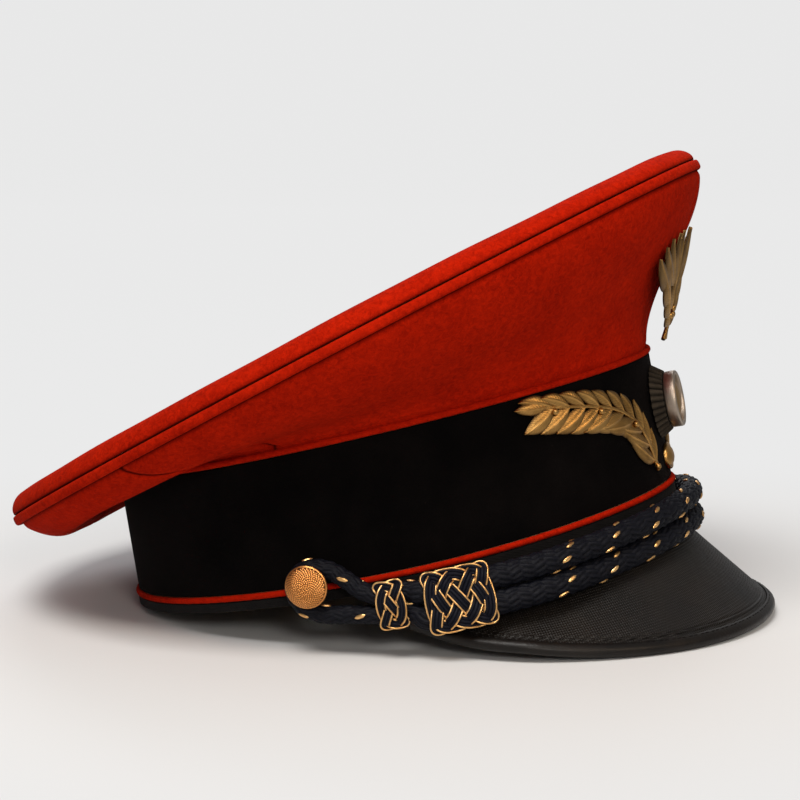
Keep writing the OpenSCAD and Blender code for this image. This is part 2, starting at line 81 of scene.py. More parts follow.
CREST_FOOT, CREST_HEAD = np.array([110.2, 56.0]), np.array([127.6, 96.0])
ROSETTE_Z = 34.4
# Route of a side loop: distance ahead of the button and height from it
LOOP = [(25.6, -7.2), (23.5, -7.2), (20.5, -7.0), (16.5, -4.4), (12.5, -0.4), (8.5, 3.2), (4.5, 5.1),
        (0.5, 5.4), (-3, 4), (-5.3, 1), (-5.8, -2.5), (-4.6, -6), (-1.6, -9), (2.5, -11), (7, -12),
        (11.5, -12.5), (16, -13.2), (20.5, -14), (23.5, -14.4), (25.6, -14.4)]

# ---- Arithmetic ----


def cosd(a):
    return np.cos(np.radians(a))


def sind(a):
    return np.sin(np.radians(a))


def lerp(a, b, t):
    return a + (b - a) * t


def ease(a, b, x):
    t = np.clip((x - a) / (b - a), 0, 1)
    return t * t * (3 - 2 * t)


def unit(v):
    return v / np.maximum(np.linalg.norm(v, axis=-1, keepdims=True), 1e-12)


def points(x, y, z):
    return np.stack(np.broadcast_arrays(x, y, z), -1).astype(float)


def shaded(shades):
    """A flow that holds only painted shade: how deep each point lies in a recess, which the finishes paint darker."""
    return points(0, 0, np.asarray(shades, float))


def signed_power(v, power):
    return np.sign(v) * np.abs(v) ** power


def path_length(path):
    """Distance along a path, up to each of its points."""
    return np.concatenate([[0], np.cumsum(np.linalg.norm(np.diff(path, axis=0), axis=1))])


def frame_along(path, outward, loop=False):
    """Directions along, beside and out of a path at each of its points."""
    ahead = np.roll(path, -1, 0) if loop else np.vstack([path[1:], path[-1:]])
    behind = np.roll(path, 1, 0) if loop else np.vstack([path[:1], path[:-1]])
    along = unit(ahead - behind)
    beside = unit(np.cross(along, outward))
    return along, beside, np.cross(beside, along)


def around(values, phi):
    c = cosd(phi)
    return lerp(values[1], np.where(c > 0, values[0], values[2]), c * c)


mount = frame["record"]["mounts"][0]
TIP_SIN, TIP_COS = mount["axis"][0], -mount["axis"][2]
REST = np.array(mount["pos_m"])


def row(p):
    """Cap frame, millimetres, to row frame, metres."""
    x, y, z = np.moveaxis(np.asarray(p, float), -1, 0)
    return points(x * TIP_COS - z * TIP_SIN, y, x * TIP_SIN + z * TIP_COS) / 1000 + REST


# ---- Curves of the cap ----


def egg_normal(phi):
    c, s = cosd(phi), sind(phi)
    nx, ny = BAND_B * (c * (1 - EGG_K * c) + EGG_K * s * s), BAND_A * s
    length = np.hypot(nx, ny)
    return nx / length, ny / length


def wall(phi, off, z):
    """Point off the band's outside face, square to it in plan."""
    nx, ny = egg_normal(phi)
    return points(BAND_A * cosd(phi) + nx * off + REAR_LEAN * np.minimum(cosd(phi), 0) ** 2 * z / BAND_H,
                  BAND_B * sind(phi) * (1 - EGG_K * cosd(phi)) + ny * off + FLARE * sind(phi) * z / BAND_H, z)


def wall_normal(phi):
    nx, ny = egg_normal(phi)
    return points(nx, ny, 0 * nx)


def low_z(phi):
    return FRONT_RISE * np.maximum(cosd(phi), 0) ** 2


def top_z(phi):
    return BAND_H + TOP_LEAN * cosd(phi)


def edge(phi, grow, h):
    """Point of the crown's edge plane, grown outwards by grow and raised by h square to that plane."""
    x = (CROWN_A + grow) * cosd(phi)
    return points(CROWN_X + x * cosd(CROWN_TILT) - h * sind(CROWN_TILT), (CROWN_B + grow) * sind(phi),
                  CROWN_Z + x * sind(CROWN_TILT) + h * cosd(CROWN_TILT))


def side(phi, t):
    """Point of the crown's side, t from the band's top (0) to the crown's edge (1)."""
    phi, t = np.broadcast_arrays(np.asarray(phi, float), np.asarray(t, float))
    ux, uy = -cosd(phi) * CROWN_B, -sind(phi) * CROWN_A
    length = np.hypot(ux, uy)
    inwards = points(ux / length * cosd(CROWN_TILT), uy / length, ux / length * sind(CROWN_TILT))
    up = np.array([-sind(CROWN_TILT), 0, cosd(CROWN_TILT)])
    leave, rise = around(EDGE_ANGLE, phi)[..., None], around(BAND_ANGLE, phi)
    down = -up * cosd(leave) + inwards * sind(leave)
    low, high = wall(phi, -0.1, top_z(phi) + 3.1), edge(phi, 0, 0) + down * (WELT_HALF + GAP)
    nx, ny = egg_normal(phi)
    out = points(nx * cosd(rise), ny * cosd(rise), sind(rise))
    a, b = low + out * around(BAND_REACH, phi)[..., None], high + down * around(EDGE_REACH, phi)[..., None]
    t = t[..., None]
    return (1 - t) ** 3 * low + 3 * (1 - t) ** 2 * t * a + 3 * (1 - t) * t * t * b + t ** 3 * high


def side_normal(phi, t):
    return unit(np.cross(side(phi + 0.5, t) - side(phi - 0.5, t),
                         side(phi, np.minimum(t + 0.01, 1)) - side(phi, np.maximum(t - 0.01, 0))))


def dip(f):
    return SAG * (1 - f * f)


def crown_disc(phi, f, h):
    return lerp(edge(90, -CROWN_B, h), edge(phi, -ROLL_R, h), np.asarray(f)[..., None])


def bag(phi, f, h):
    x = BAG_X + BAG_A * f * cosd(phi)
    return points(CROWN_X + x * cosd(CROWN_TILT) - h * sind(CROWN_TILT), BAG_B * f * sind(phi),
                  CROWN_Z + x * sind(CROWN_TILT) + h * cosd(CROWN_TILT))


def visor_face(phi, t, depth):
    """Point of the visor, t from its root to its rim, depth under its upper face."""
    phi, t = np.broadcast_arrays(np.asarray(phi, float), np.asarray(t, float))
    reach = VISOR_LEN * np.maximum(1 - (np.abs(phi) / VISOR_PHI) ** 2.4, 0) ** 0.98
    fall = VISOR_SLOPE + 24 * ease(58, 82, np.abs(phi))
    out, down = reach * cosd(fall), reach * sind(fall)
    bend = 0.13 + 0.36 * sind(phi) ** 2 + 0.3 * sind(phi) ** 6
    corner = VISOR_TOP - down * bend
    slope = np.degrees(np.arctan2(down * (1 - bend), np.maximum(out, 0.01)))
    nx, ny = egg_normal(phi)
    length = np.hypot(nx, ny * SPLAY)
    s, flat = np.maximum((t - 0.2) / 0.8, 0), np.minimum(t / 0.2, 1)
    root = t < 0.2
    reach_out = np.where(root, -0.3 - depth, lerp(-0.1, out, s) - depth * sind(slope))
    z = np.where(root, lerp(VISOR_TOP, corner - depth * 0.5, flat),
                 lerp(corner, VISOR_TOP - down, s) - depth * cosd(slope))
    return points(BAND_A * cosd(phi) + nx / length * reach_out,
                  BAND_B * sind(phi) * (1 - EGG_K * cosd(phi)) + ny * SPLAY / length * reach_out, z)


def near_pair(phi, out, up):
    """Point near the pair of chin cords: out across it from the band, and up along it."""
    p = np.abs(phi)
    taper = ease(75.9, 79.4, p)
    off = 5.45 + 3.05 * ease(35, 57, p) - 1.9 * taper
    z = -10.75 + 5.4 * np.maximum(cosd(p), 0) ** 4 + 2.5 * taper
    tilt = -6 + 16 * ease(35, 57, p) - 10 * taper
    return wall(phi, off + out * cosd(tilt) - up * sind(tilt), z + up * cosd(tilt) + out * sind(tilt))


def pair_half(phi):
    return 4.45 - 0.95 * ease(75.9, 79.4, np.abs(phi))


def pair_r(phi):
    return lerp(CORD_R, LOOP_R, ease(75.9, 79.4, np.abs(phi)))


def crest_point(y, h, back):
    """Point of the crown badge, h up its face, back behind it."""
    d = (CREST_HEAD - CREST_FOOT) / np.linalg.norm(CREST_HEAD - CREST_FOOT)
    return points(CREST_FOOT[0] + d[0] * h - d[1] * back - y * y / 230, y, CREST_FOOT[1] + d[1] * h + d[0] * back)


# ---- Meshes ----


class Build:
    """Collects the vertices, faces and material numbers of one piece, in the cap frame."""

    def __init__(self):
        self.verts, self.faces, self.kinds, self.flow, self.count = [], [], [], [], 0

    def loft(self, sections, loop=False, kind=0, flow=None):
        """Skins an array of closed sections, n by m points."""
        sections = np.asarray(sections, float)
        n, m = sections.shape[:2]
        i, j = np.meshgrid(np.arange(n if loop else n - 1), np.arange(m), indexing="ij")
        i, j, after, beside = i.ravel(), j.ravel(), (i.ravel() + 1) % n, (j.ravel() + 1) % m
        quads = np.stack([i * m + j, after * m + j, after * m + beside, i * m + beside], -1) + self.count
        self.faces += quads.tolist()
        caps = 0
        if not loop:
            self.faces.append((np.arange(m) + self.count).tolist())
            self.faces.append((np.arange(m)[::-1] + (n - 1) * m + self.count).tolist())
            caps = 2
        self.kinds += [kind] * (len(quads) + caps)
        self.verts.append(sections.reshape(-1, 3))
        self.flow.append(np.zeros((n * m, 3)) if flow is None else np.asarray(flow, float).reshape(-1, 3))
        self.count += n * m
        return self

    def mirrored(self):
        other = Build()
        other.verts = [v * np.array([1, -1, 1]) for v in self.verts]
        other.faces, other.kinds, other.flow, other.count = self.faces, self.kinds, self.flow, self.count
        return other

    def piece(self, name, finishes, body="cap", slot=None, stands_for=(), sharp=40):
        """Makes the object, with smooth shading that breaks at edges over `sharp` degrees."""
        mesh = bpy.data.meshes.new(name)
        mesh.from_pydata(row(np.concatenate(self.verts)).tolist(), [], self.faces)
        mesh.polygons.foreach_set("material_index", self.kinds)
        flow = mesh.attributes.new("flow", "FLOAT_VECTOR", "POINT")
        flow.data.foreach_set("vector", np.concatenate(self.flow).ravel())
        bm = bmesh.new()
        bm.from_mesh(mesh)
        bmesh.ops.recalc_face_normals(bm, faces=bm.faces)
        limit = math.radians(sharp)
        for e in bm.edges:
            e.smooth = e.calc_face_angle(0) < limit
        for f in bm.faces:
            f.smooth = True
        bm.to_mesh(mesh)
        bm.free()
        for finish in finishes:
            mesh.materials.append(finish)
        obj = bpy.data.objects.new(name, mesh)
        bpy.context.scene.collection.objects.link(obj)
        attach(obj, body)
        if stands_for:
            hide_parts(*stands_for)
        return obj


def sweep(build, path, outward, profile, loop=False, kind=0, scale=None, flow=None):
    """Runs a closed profile of (sideways, outwards) points along a path."""
    _, beside, out = frame_along(path, outward, loop)
    profile = np.asarray(profile, float)
    size = np.ones(len(path)) if scale is None else scale
    sections = (path[:, None] + beside[:, None] * (profile[:, 0] * size[:, None])[..., None]
                + out[:, None] * (profile[:, 1] * size[:, None])[..., None])
    return build.loft(sections, loop, kind=kind, flow=flow)


def round_profile(r, sides, flat=1.0):
    turn = 2 * np.pi * np.arange(sides) / sides
    return np.stack([r * np.cos(turn), r * flat * np.sin(turn)], -1)


def bead(build, centre, along, up, half, rings=9, sides=10):
    """A rounded grain, half = its half length, half width and half height."""
    across = unit(np.cross(up, along))
    lifted = np.cross(along, across)
    sections = []
    for u in np.linspace(-0.97, 0.97, rings):
        r = (1 - abs(u) ** 2.4) ** 0.5
        turn = 2 * np.pi * np.arange(sides) / sides
        sections.append(centre + along * (u * half[0]) + across * (r * half[1] * np.cos(turn))[:, None]
                        + lifted * (r * half[2] * np.sin(turn))[:, None])
    build.loft(sections)


def resample(path, step):
    """Points at even spacing on a smooth curve through a path's points."""
    path = np.asarray(path, float)
    knots = np.vstack([2 * path[0] - path[1], path, 2 * path[-1] - path[-2]])
    fine = []
    for k in range(1, len(knots) - 2):
        p0, p1, p2, p3 = knots[k - 1:k + 3]
        t = np.linspace(0, 1, 12, endpoint=False)[:, None]
        fine.append(0.5 * (2 * p1 + (p2 - p0) * t + (2 * p0 - 5 * p1 + 4 * p2 - p3) * t * t
                           + (3 * p1 - p0 - 3 * p2 + p3) * t ** 3))
    fine = np.vstack([*fine, path[-1:]])
    s = path_length(fine)
    even = np.linspace(0, s[-1], max(int(s[-1] / step), 2))
    return np.stack([np.interp(even, s, fine[:, k]) for k in range(fine.shape[1])], -1)


def braid_height(a, b):
    """Height of a two-over-two-under braid at lattice place a, b, from 0 to about 1."""
    ka, kb = np.floor(a), np.floor(b)
    crown_a, crown_b = (np.sqrt(np.maximum(1 - (2 * (v - k) - 1) ** 2, 0)) for v, k in ((a, ka), (b, kb)))
    over_a = 0.75 * crown_a + 0.32 * np.cos(np.pi / 2 * (b - ka - 1))
    over_b = 0.75 * crown_b - 0.32 * np.cos(np.pi / 2 * (kb - a))
    return np.maximum(over_a, over_b)


def braid(build, path, outward, radius, strands, cell, depth, sides=72, shift=0.0):
    """A round braided cord as one skin: `strands` each way, each crossing `cell` long."""
    s = path_length(path) + shift
    _, beside, out = frame_along(path, outward)
    turn = 2 * np.pi * np.arange(sides) / sides
    a = strands * turn / (2 * np.pi) + s[:, None] / cell
    b = strands * turn / (2 * np.pi) - s[:, None] / cell
    height = braid_height(a, b)
    r = radius[:, None] - depth + depth * height
    # Painted shade: low places between the crossing strands are marked to be painted darker.
    shade = np.clip(1.15 - 1.5 * height, 0, 1)
    sections = (path[:, None] + out[:, None] * (r * np.cos(turn))[..., None]
                + beside[:, None] * (r * np.sin(turn))[..., None])
    build.loft(sections, flow=points(a, b, shade))


def flecks(build, path, outward, radius, pitch, each, first, lean, bare=None):
    """Glints of a metal thread that winds round a cord and shows once every `each` millimetres. None are
    made where `bare` is true."""
    s = path_length(path)
    along, beside, out = frame_along(path, outward)
    for place in np.arange(first, s[-1] - 2, each):
        i = int(np.searchsorted(s, place))
        if bare is not None and bare[i]:
            continue
        turn = 2 * np.pi * place / pitch
        up = out[i] * math.cos(turn) + beside[i] * math.sin(turn)
        across = np.cross(along[i], up)
        lie = unit(along[i] + across * lean)
        bead(build, path[i] + up * (radius[i] - 0.12), lie, up, (2.0, 0.75, 0.55), rings=7, sides=8)


# ---- Materials ----


class Finish:
    """A procedural material: a Principled shader and the nodes that feed it."""

    def __init__(self, name, color, rough, **sockets):
        self.mat = bpy.data.materials.new(name)
        self.mat.use_nodes = True
        self.tree = self.mat.node_tree
        self.shader = self.tree.nodes["Principled BSDF"]
        self.place = self.node("ShaderNodeTexCoord").outputs["Object"]
        self.shader.inputs["Base Color"].default_value = (*color, 1)
        self.shader.inputs["Roughness"].default_value = rough
        for key, value in sockets.items():
            self.shader.inputs[key.replace("_", " ")].default_value = value
        self.normal = None

    def node(self, kind, inputs=None, **props):
        made = self.tree.nodes.new(kind)
        for key, value in props.items():
            setattr(made, key, value)
        for key, value in (inputs or {}).items():
            if isinstance(value, bpy.types.NodeSocket):
                self.tree.links.new(value, made.inputs[key])
            else:
                made.inputs[key].default_value = value
        return made

    def stretch(self, place, scale, turn=(0, 0, 0)):
        return self.node("ShaderNodeMapping", {"Vector": place, "Scale": scale, "Rotation": turn}).outputs[0]

    def noise(self, size, detail=3.0, rough=0.55, place=None, distortion=0.0):
        """Noise whose lumps are about `size` millimetres across."""
        inputs = {"Vector": place or self.place, "Scale": 1000 / size, "Detail": detail, "Roughness": rough,
                  "Distortion": distortion}
        return self.node("ShaderNodeTexNoise", inputs).outputs[0]

    def cells(self, size):
        """Rounded cells about `size` millimetres across."""
        inputs = {"Vector": self.place, "Scale": 1000 / size}
        return self.node("ShaderNodeTexVoronoi", inputs, feature="SMOOTH_F1").outputs["Distance"]

    def flow(self):
        return self.node("ShaderNodeAttribute", attribute_name="flow").outputs["Vector"]

    def shade(self):
        """Painted shade: how deep in a recess a place lies, from 0 to 1, kept in the third part of the flow. Finishes
        darken their colour by it.
        """
        return self.node("ShaderNodeSeparateXYZ", {0: self.flow()}).outputs[2]

    def math(self, operation, a, b=0.0, c=0.0):
        return self.node("ShaderNodeMath", {0: a, 1: b, 2: c}, operation=operation).outputs[0]

    def wave(self, place, axis, period, turn=(0, 0, 0)):
        """A sine from 0 to 1 along one axis of `place`, with that period in its own units."""
        moved = self.stretch(place, (1, 1, 1), turn)
        part = self.node("ShaderNodeSeparateXYZ", {0: moved}).outputs[axis]
        swing = self.math("SINE", self.math("MULTIPLY", part, 2 * math.pi / period))
        return self.math("MULTIPLY_ADD", swing, 0.5, 0.5)

    def ramp(self, fac, *stops):
        made = self.node("ShaderNodeValToRGB", {"Fac": fac})
        bar = made.color_ramp
        while len(bar.elements) < len(stops):
            bar.elements.new(0.5)
        for element, (place, color) in zip(bar.elements, stops):
            element.position = place
            element.color = (*color, 1) if hasattr(color, "__len__") else (color, color, color, 1)
        return made.outputs["Color"]

    def mix(self, fac, a, b):
        made = self.node("ShaderNodeMix", data_type="RGBA")
        for index, value in ((0, fac), (6, a), (7, b)):
            if isinstance(value, bpy.types.NodeSocket):
                self.tree.links.new(value, made.inputs[index])
            else:
                made.inputs[index].default_value = value if index == 0 else (*value, 1)
        return made.outputs[2]

    def color(self, socket):
        self.tree.links.new(socket, self.shader.inputs["Base Color"])
        return self

    def rough(self, socket, low, high):
        span = self.node("ShaderNodeMapRange", {"Value": socket, "To Min": low, "To Max": high}).outputs[0]
        self.tree.links.new(span, self.shader.inputs["Roughness"])
        return self

    def bump(self, height, distance, strength=1.0):
        """Adds relief `distance` millimetres high."""
        inputs = {"Height": height, "Distance": distance / 1000, "Strength": strength}
        if self.normal:
            inputs["Normal"] = self.normal
        self.normal = self.node("ShaderNodeBump", inputs).outputs[0]
        self.tree.links.new(self.normal, self.shader.inputs["Normal"])
        return self


def felt(name, dark, light, nap):
    """Napped wool: soft mottling, short fibres, a few paler hairs, and painted shade in its seams and grooves."""
    f = Finish(name, light, 0.95, Sheen_Weight=0.03, Sheen_Roughness=0.5, Sheen_Tint=(1, 0.2, 0.06, 1),
               Specular_IOR_Level=0.02)
    deep = tuple(0.6 * c for c in dark)
    cloud = f.ramp(f.noise(16, 5, 0.6), (0.3, dark), (0.7, light))
    tuft = f.ramp(f.noise(1.7, 5, 0.7, distortion=0.8), (0.36, deep), (0.62, light))
    fibre = f.noise(0.8, 5, 0.75, distortion=0.6)
    hair = f.ramp(f.noise(0.7, 3, 0.8, f.stretch(f.place, (1, 0.25, 1))), (0.62, 0.0), (0.75, 1.0))
    body = f.mix(0.5, cloud, tuft)
    fuzzy = f.mix(f.math("MULTIPLY", hair, 0.3), body, tuple(min(1, 1.3 * c + 0.015) for c in light))
    # Painted shade: the colour goes near-black where the flow's shade marks a seam or groove.
    f.color(f.mix(f.shade(), fuzzy, tuple(0.12 * c for c in dark)))
    f.bump(f.noise(7, 3), nap * 2.0, 0.5)
    f.bump(f.noise(1.7, 4, 0.7, distortion=0.8), nap * 1.6, 0.8)
    f.bump(fibre, nap * 0.8, 0.7)
    return f.mat


def velvet(name):
    """Short cut pile, darkest where it is brushed flat, with a little lint."""
    f = Finish(name, (0.002, 0.0016, 0.0016), 0.95, Sheen_Weight=0.02, Sheen_Roughness=0.3,
               Sheen_Tint=(0.9, 0.7, 0.65, 1), Specular_IOR_Level=0.04)
    pile = f.noise(0.7, 5, 0.7)
    rub = f.ramp(f.noise(22, 4, 0.6), (0.35, (0.0014, 0.0011, 0.0011)), (0.8, (0.004, 0.003, 0.0028)))
    lint = f.ramp(f.noise(0.9, 2, 0.5), (0.76, 0.0), (0.81, 1.0))
    f.color(f.mix(f.math("MULTIPLY", lint, 0.2), rub, (0.05, 0.036, 0.03)))
    f.bump(pile, 0.35, 0.8)
    return f.mat


def black_cloth(name, dark, light):
    f = Finish(name, dark, 0.85, Sheen_Weight=0.02, Specular_IOR_Level=0.12)
    weave = f.math("MULTIPLY", f.wave(f.place, 0, 0.0011, (0, 0.8, 0.5)), f.wave(f.place, 2, 0.0009, (0.3, 0, 0.2)))
    body = f.ramp(f.noise(9, 4), (0.35, dark), (0.75, light))
    # Painted shade: the colour darkens where the flow's shade marks a recess, such as a pleat's valley.
    f.color(f.mix(f.shade(), body, tuple(0.2 * c for c in dark)))
    f.bump(weave, 0.12, 0.7)
    f.bump(f.noise(1.2, 4), 0.15, 0.5)
    return f.mat


def cord_cloth(name, dark, light):
    """Rayon cord: fine filaments along each strand, and painted shade in the gaps between strands."""
    f = Finish(name, dark, 0.5, Sheen_Weight=0.012, Sheen_Roughness=0.4, Sheen_Tint=(0.6, 0.7, 1, 1),
               Specular_IOR_Level=0.14)
    lines = f.noise(0.35, 3, 0.6, distortion=0.4)
    thread = f.mix(f.ramp(lines, (0.35, 0.0), (0.7, 1.0)), dark, light)
    # Painted shade: darker where the flow's shade marks a gap between strands or plies.
    f.color(f.mix(f.shade(), thread, tuple(0.25 * c for c in dark)))
    f.rough(f.noise(2, 3), 0.42, 0.7)
    f.bump(lines, 0.14, 0.9)
    return f.mat


# Colour of dull tarnished patches on metal, and of painted shade in its recesses.
TARNISH_AND_RECESS_SHADE = (0.05, 0.03, 0.015)


def metal(name, dark, light, rough, grain, wear=12):
    """Satin metal: fine stippling, dull tarnished patches, and painted shade in its recesses."""
    f = Finish(name, light, rough, Metallic=1.0)
    base = f.ramp(f.noise(wear, 5, 0.6), (0.3, dark), (0.72, light))
    patches = f.math("MULTIPLY", f.ramp(f.noise(3, 5, 0.7), (0.5, 0.0), (0.8, 1.0)), 0.35)
    # Dull patches are tarnish. The flow's shade is painted shade in recesses, and both mix towards one dark colour.
    f.color(f.mix(f.math("MAXIMUM", patches, f.shade()), base, TARNISH_AND_RECESS_SHADE))
    f.rough(f.noise(1.5, 4), max(rough - 0.1, 0.05), rough + 0.15)
    f.bump(f.noise(grain, 3, 0.6), grain * 0.16, 0.8)
    return f.mat


def leather(name, dark, light, rough, pore, **sockets):
    f = Finish(name, light, rough, **sockets)
    f.color(f.ramp(f.noise(12, 5, 0.6), (0.3, dark), (0.75, light)))
    f.rough(f.noise(5, 4), rough - 0.06, rough + 0.12)
    f.bump(f.cells(pore), pore * 0.12, 0.6)
    f.bump(f.noise(0.4, 3), 0.03, 0.5)
    return f.mat


def visor_leather(name):
    """Lacquered board with a fine woven embossing, worn a little brown."""
    f = Finish(name, (0.006, 0.0045, 0.0035), 0.4, Specular_IOR_Level=0.26)
    f.color(f.ramp(f.noise(26, 5, 0.6), (0.3, (0.0025, 0.0019, 0.0016)), (0.8, (0.011, 0.0072, 0.0045))))
    place = f.flow()
    weave = f.math("MULTIPLY", f.wave(place, 0, 1.05), f.wave(place, 1, 1.05))
    f.rough(f.noise(3, 4), 0.36, 0.54)
    f.bump(weave, 0.24, 1.0)
    f.bump(f.noise(0.5, 3), 0.05, 0.6)
    f.bump(f.noise(12, 3), 0.5, 0.3)
    return f.mat


def satin(name, dark, light):
    f = Finish(name, light, 0.42, Sheen_Weight=0.3, Sheen_Roughness=0.3, Anisotropic=0.4)
    f.color(f.ramp(f.noise(20, 4), (0.3, dark), (0.75, light)))
    f.bump(f.wave(f.place, 0, 0.0005), 0.05, 0.4)
    f.bump(f.noise(14, 4), 0.8, 0.35)
    return f.mat


def board(name, dark, light):
    f = Finish(name, light, 0.8)
    f.color(f.ramp(f.noise(2, 6, 0.7, f.stretch(f.place, (1, 1, 0.3))), (0.3, dark), (0.75, light)))
    f.bump(f.noise(0.8, 4), 0.12, 0.6)
    return f.mat


def film(name):
    f = Finish(name, (0.85, 0.8, 0.68), 0.12, Alpha=0.35, IOR=1.45)
    f.rough(f.noise(8, 4), 0.08, 0.3)
    f.bump(f.noise(25, 3), 0.4, 0.3)
    return f.mat


RED = felt("red_felt", (0.31, 0.006, 0.0009), (0.5, 0.0135, 0.0018), 0.3)
RED_EDGING = felt("red_edging", (0.3, 0.006, 0.0009), (0.46, 0.013, 0.0018), 0.16)
VELVET = velvet("black_velvet")
CLOTH = black_cloth("black_cloth", (0.0025, 0.002, 0.002), (0.007, 0.0055, 0.005))
NAVY = cord_cloth("navy_cord", (0.0012, 0.0014, 0.0032), (0.004, 0.0046, 0.0095))
NAVY_KNOT = cord_cloth("navy_knot_cord", (0.0014, 0.0018, 0.0045), (0.005, 0.006, 0.014))
GOLD = metal("gold_thread", (0.72, 0.38, 0.12), (0.95, 0.6, 0.26), 0.33, 0.3)
COPPER = metal("coppery_brass", (0.55, 0.21, 0.05), (0.9, 0.41, 0.13), 0.3, 0.2)
BRASS = metal("stamped_brass", (0.31, 0.16, 0.042), (0.65, 0.37, 0.115), 0.32, 0.4, 9)
DARK_BRASS = metal("boss_brass", (0.3, 0.18, 0.07), (0.52, 0.33, 0.14), 0.42, 0.5)
PLAIN_BRASS = metal("pin_brass", (0.5, 0.35, 0.14), (0.7, 0.52, 0.24), 0.35, 0.6)
SILVER = metal("aged_silver", (0.33, 0.27, 0.21), (0.58, 0.49, 0.41), 0.4, 0.5)
STEEL = metal("spring_steel", (0.3, 0.3, 0.31), (0.5, 0.5, 0.5), 0.35, 0.8)
VISOR = visor_leather("visor_board")
BINDING = leather("visor_binding", (0.0025, 0.0019, 0.0016), (0.009, 0.006, 0.004), 0.4, 0.9, Specular_IOR_Level=0.26)
UNDER = leather("visor_under", (0.1, 0.045, 0.02), (0.19, 0.095, 0.045), 0.55, 1.2)
SWEAT = leather("sweat_leather", (0.13, 0.06, 0.025), (0.24, 0.125, 0.06), 0.45, 0.9)
SATIN = satin("lining_satin", (0.33, 0.19, 0.06), (0.5, 0.32, 0.12))
CANVAS = board("canvas", (0.45, 0.39, 0.28), (0.62, 0.56, 0.44))
FIBRE = board("fibre_board", (0.17, 0.1, 0.05), (0.28, 0.18, 0.1))
FILM = film("clear_film")
PLEAT = black_cloth("pleated_cloth", (0.02, 0.015, 0.01), (0.055, 0.043, 0.03))

# ---- Camera, light and floor ----

# The shot: its turn and rise for a cap tipped nose-up by SHOT_TIP, and its distance, lens and aim
SHOT_TURN, SHOT_RISE, SHOT_TIP, SHOT_DISTANCE, SHOT_LENS = 14.0, 8.2, 11.5, 0.85, 102.13
AIM = (-0.002, 0, 0.0515)
BACKDROP = 0.807


def look(place, aim):
    """Rotation that points a camera or light at a place."""
    return (Vector(aim) - Vector(place)).to_track_quat("-Z", "Y").to_euler()


def camera():
    lean = math.radians(SHOT_TIP) - math.atan2(TIP_SIN, TIP_COS)
    tip = Matrix.Rotation(lean, 3, "Y")
    back = Vector((sind(SHOT_TURN) * cosd(SHOT_RISE), -cosd(SHOT_TURN) * cosd(SHOT_RISE), sind(SHOT_RISE)))
    data = bpy.data.cameras.new("camera")
    data.lens = SHOT_LENS
    obj = bpy.data.objects.new("camera", data)
    turn = tip @ back.to_track_quat("Z", "Y").to_matrix()
    place = Vector(REST) + tip @ (Vector(AIM) + back * SHOT_DISTANCE)
    obj.matrix_world = Matrix.Translation(place) @ turn.to_4x4()
    bpy.context.scene.collection.objects.link(obj)
    bpy.context.scene.camera = obj


def softbox(name, place, aim, size, power, color=(1, 1, 1)):
    data = bpy.data.lights.new(name, "AREA")
    data.shape, data.size, data.size_y = "RECTANGLE", size[0], size[1]
    data.energy, data.color = power, color
    obj = bpy.data.objects.new(name, data)
    obj.location = place
    obj.rotation_euler = look(place, aim)
    bpy.context.scene.collection.objects.link(obj)


def studio():
    scene = bpy.context.scene
    scene.view_settings.view_transform = "Standard"
    world = bpy.data.worlds.new("studio")
    world.use_nodes = True
    world.node_tree.nodes["Background"].inputs["Color"].default_value = (0.8, 0.8, 0.8, 1)
    world.node_tree.nodes["Background"].inputs["Strength"].default_value = 0.3
    scene.world = world
    softbox("key", (-0.1, -0.8, 1.45), (0, 0, 0.07), (0.8, 0.7), 23, (1, 0.97, 0.93))
    softbox("front", (0.95, -0.55, 0.75), (0.05, 0, 0.05), (0.35, 0.35), 2.4, (1, 0.74, 0.5))
    softbox("side", (0.5, -1.15, 0.5), (0.05, 0, 0.03), (0.3, 0.22), 4.5, (1, 0.94, 0.87))
    softbox("back", (-0.3, 1.0, 0.9), (0, 0, 0.08), (0.8, 0.6), 6, (0.95, 0.97, 1))


def floor():
    """A pale sweep: flat near the cap, and curving up far behind it."""
    run, turn_r, half = 2.5, 1.0, 5.0
    angle = np.linspace(0, np.pi / 2, 24)
    profile = [(-4.0, 0.0), (run, 0.0)]
    profile += [(run + turn_r * math.sin(a), turn_r * (1 - math.cos(a))) for a in angle[1:]]
    profile.append((run + turn_r, 4.0))
    verts = [(x, y, z) for y, z in profile for x in (-half, half)]
    faces = [(2 * k, 2 * k + 1, 2 * k + 3, 2 * k + 2) for k in range(len(profile) - 1)]
    mesh = bpy.data.meshes.new("floor")
    mesh.from_pydata(verts, [], faces)
    mesh.polygons.foreach_set("use_smooth", [True] * len(faces))
    f = Finish("pale_floor", (0.8, 0.8, 0.8), 0.9, Specular_IOR_Level=0.1, Emission_Strength=1.0)
    far = f.node("ShaderNodeVectorMath", {0: f.place}, operation="LENGTH").outputs["Value"]
    share = f.node("ShaderNodeMapRange", {"Value": far, "From Min": 0.1, "From Max": 0.36},
                   interpolation_type="SMOOTHSTEP").outputs[0]
    paper = f.ramp(f.noise(400, 2), (0.3, 0.65), (0.7, 0.67))
    f.color(f.mix(share, paper, (0.0, 0.0, 0.0)))
    seen = f.node("ShaderNodeLightPath").outputs["Is Camera Ray"]
    backdrop = f.mix(seen, (0.3,) * 3, (BACKDROP,) * 3)
    glow = f.mix(share, (0.0, 0.0, 0.0), backdrop)
    f.tree.links.new(glow, f.shader.inputs["Emission Color"])
    mesh.materials.append(f.mat)
    obj = bpy.data.objects.new("floor", mesh)
    obj.location.z = cad_box[0].z
    bpy.context.scene.collection.objects.link(obj)


camera()
studio()
floor()

# ---- Crown ----

RING = np.arange(0, 360, 1.0)
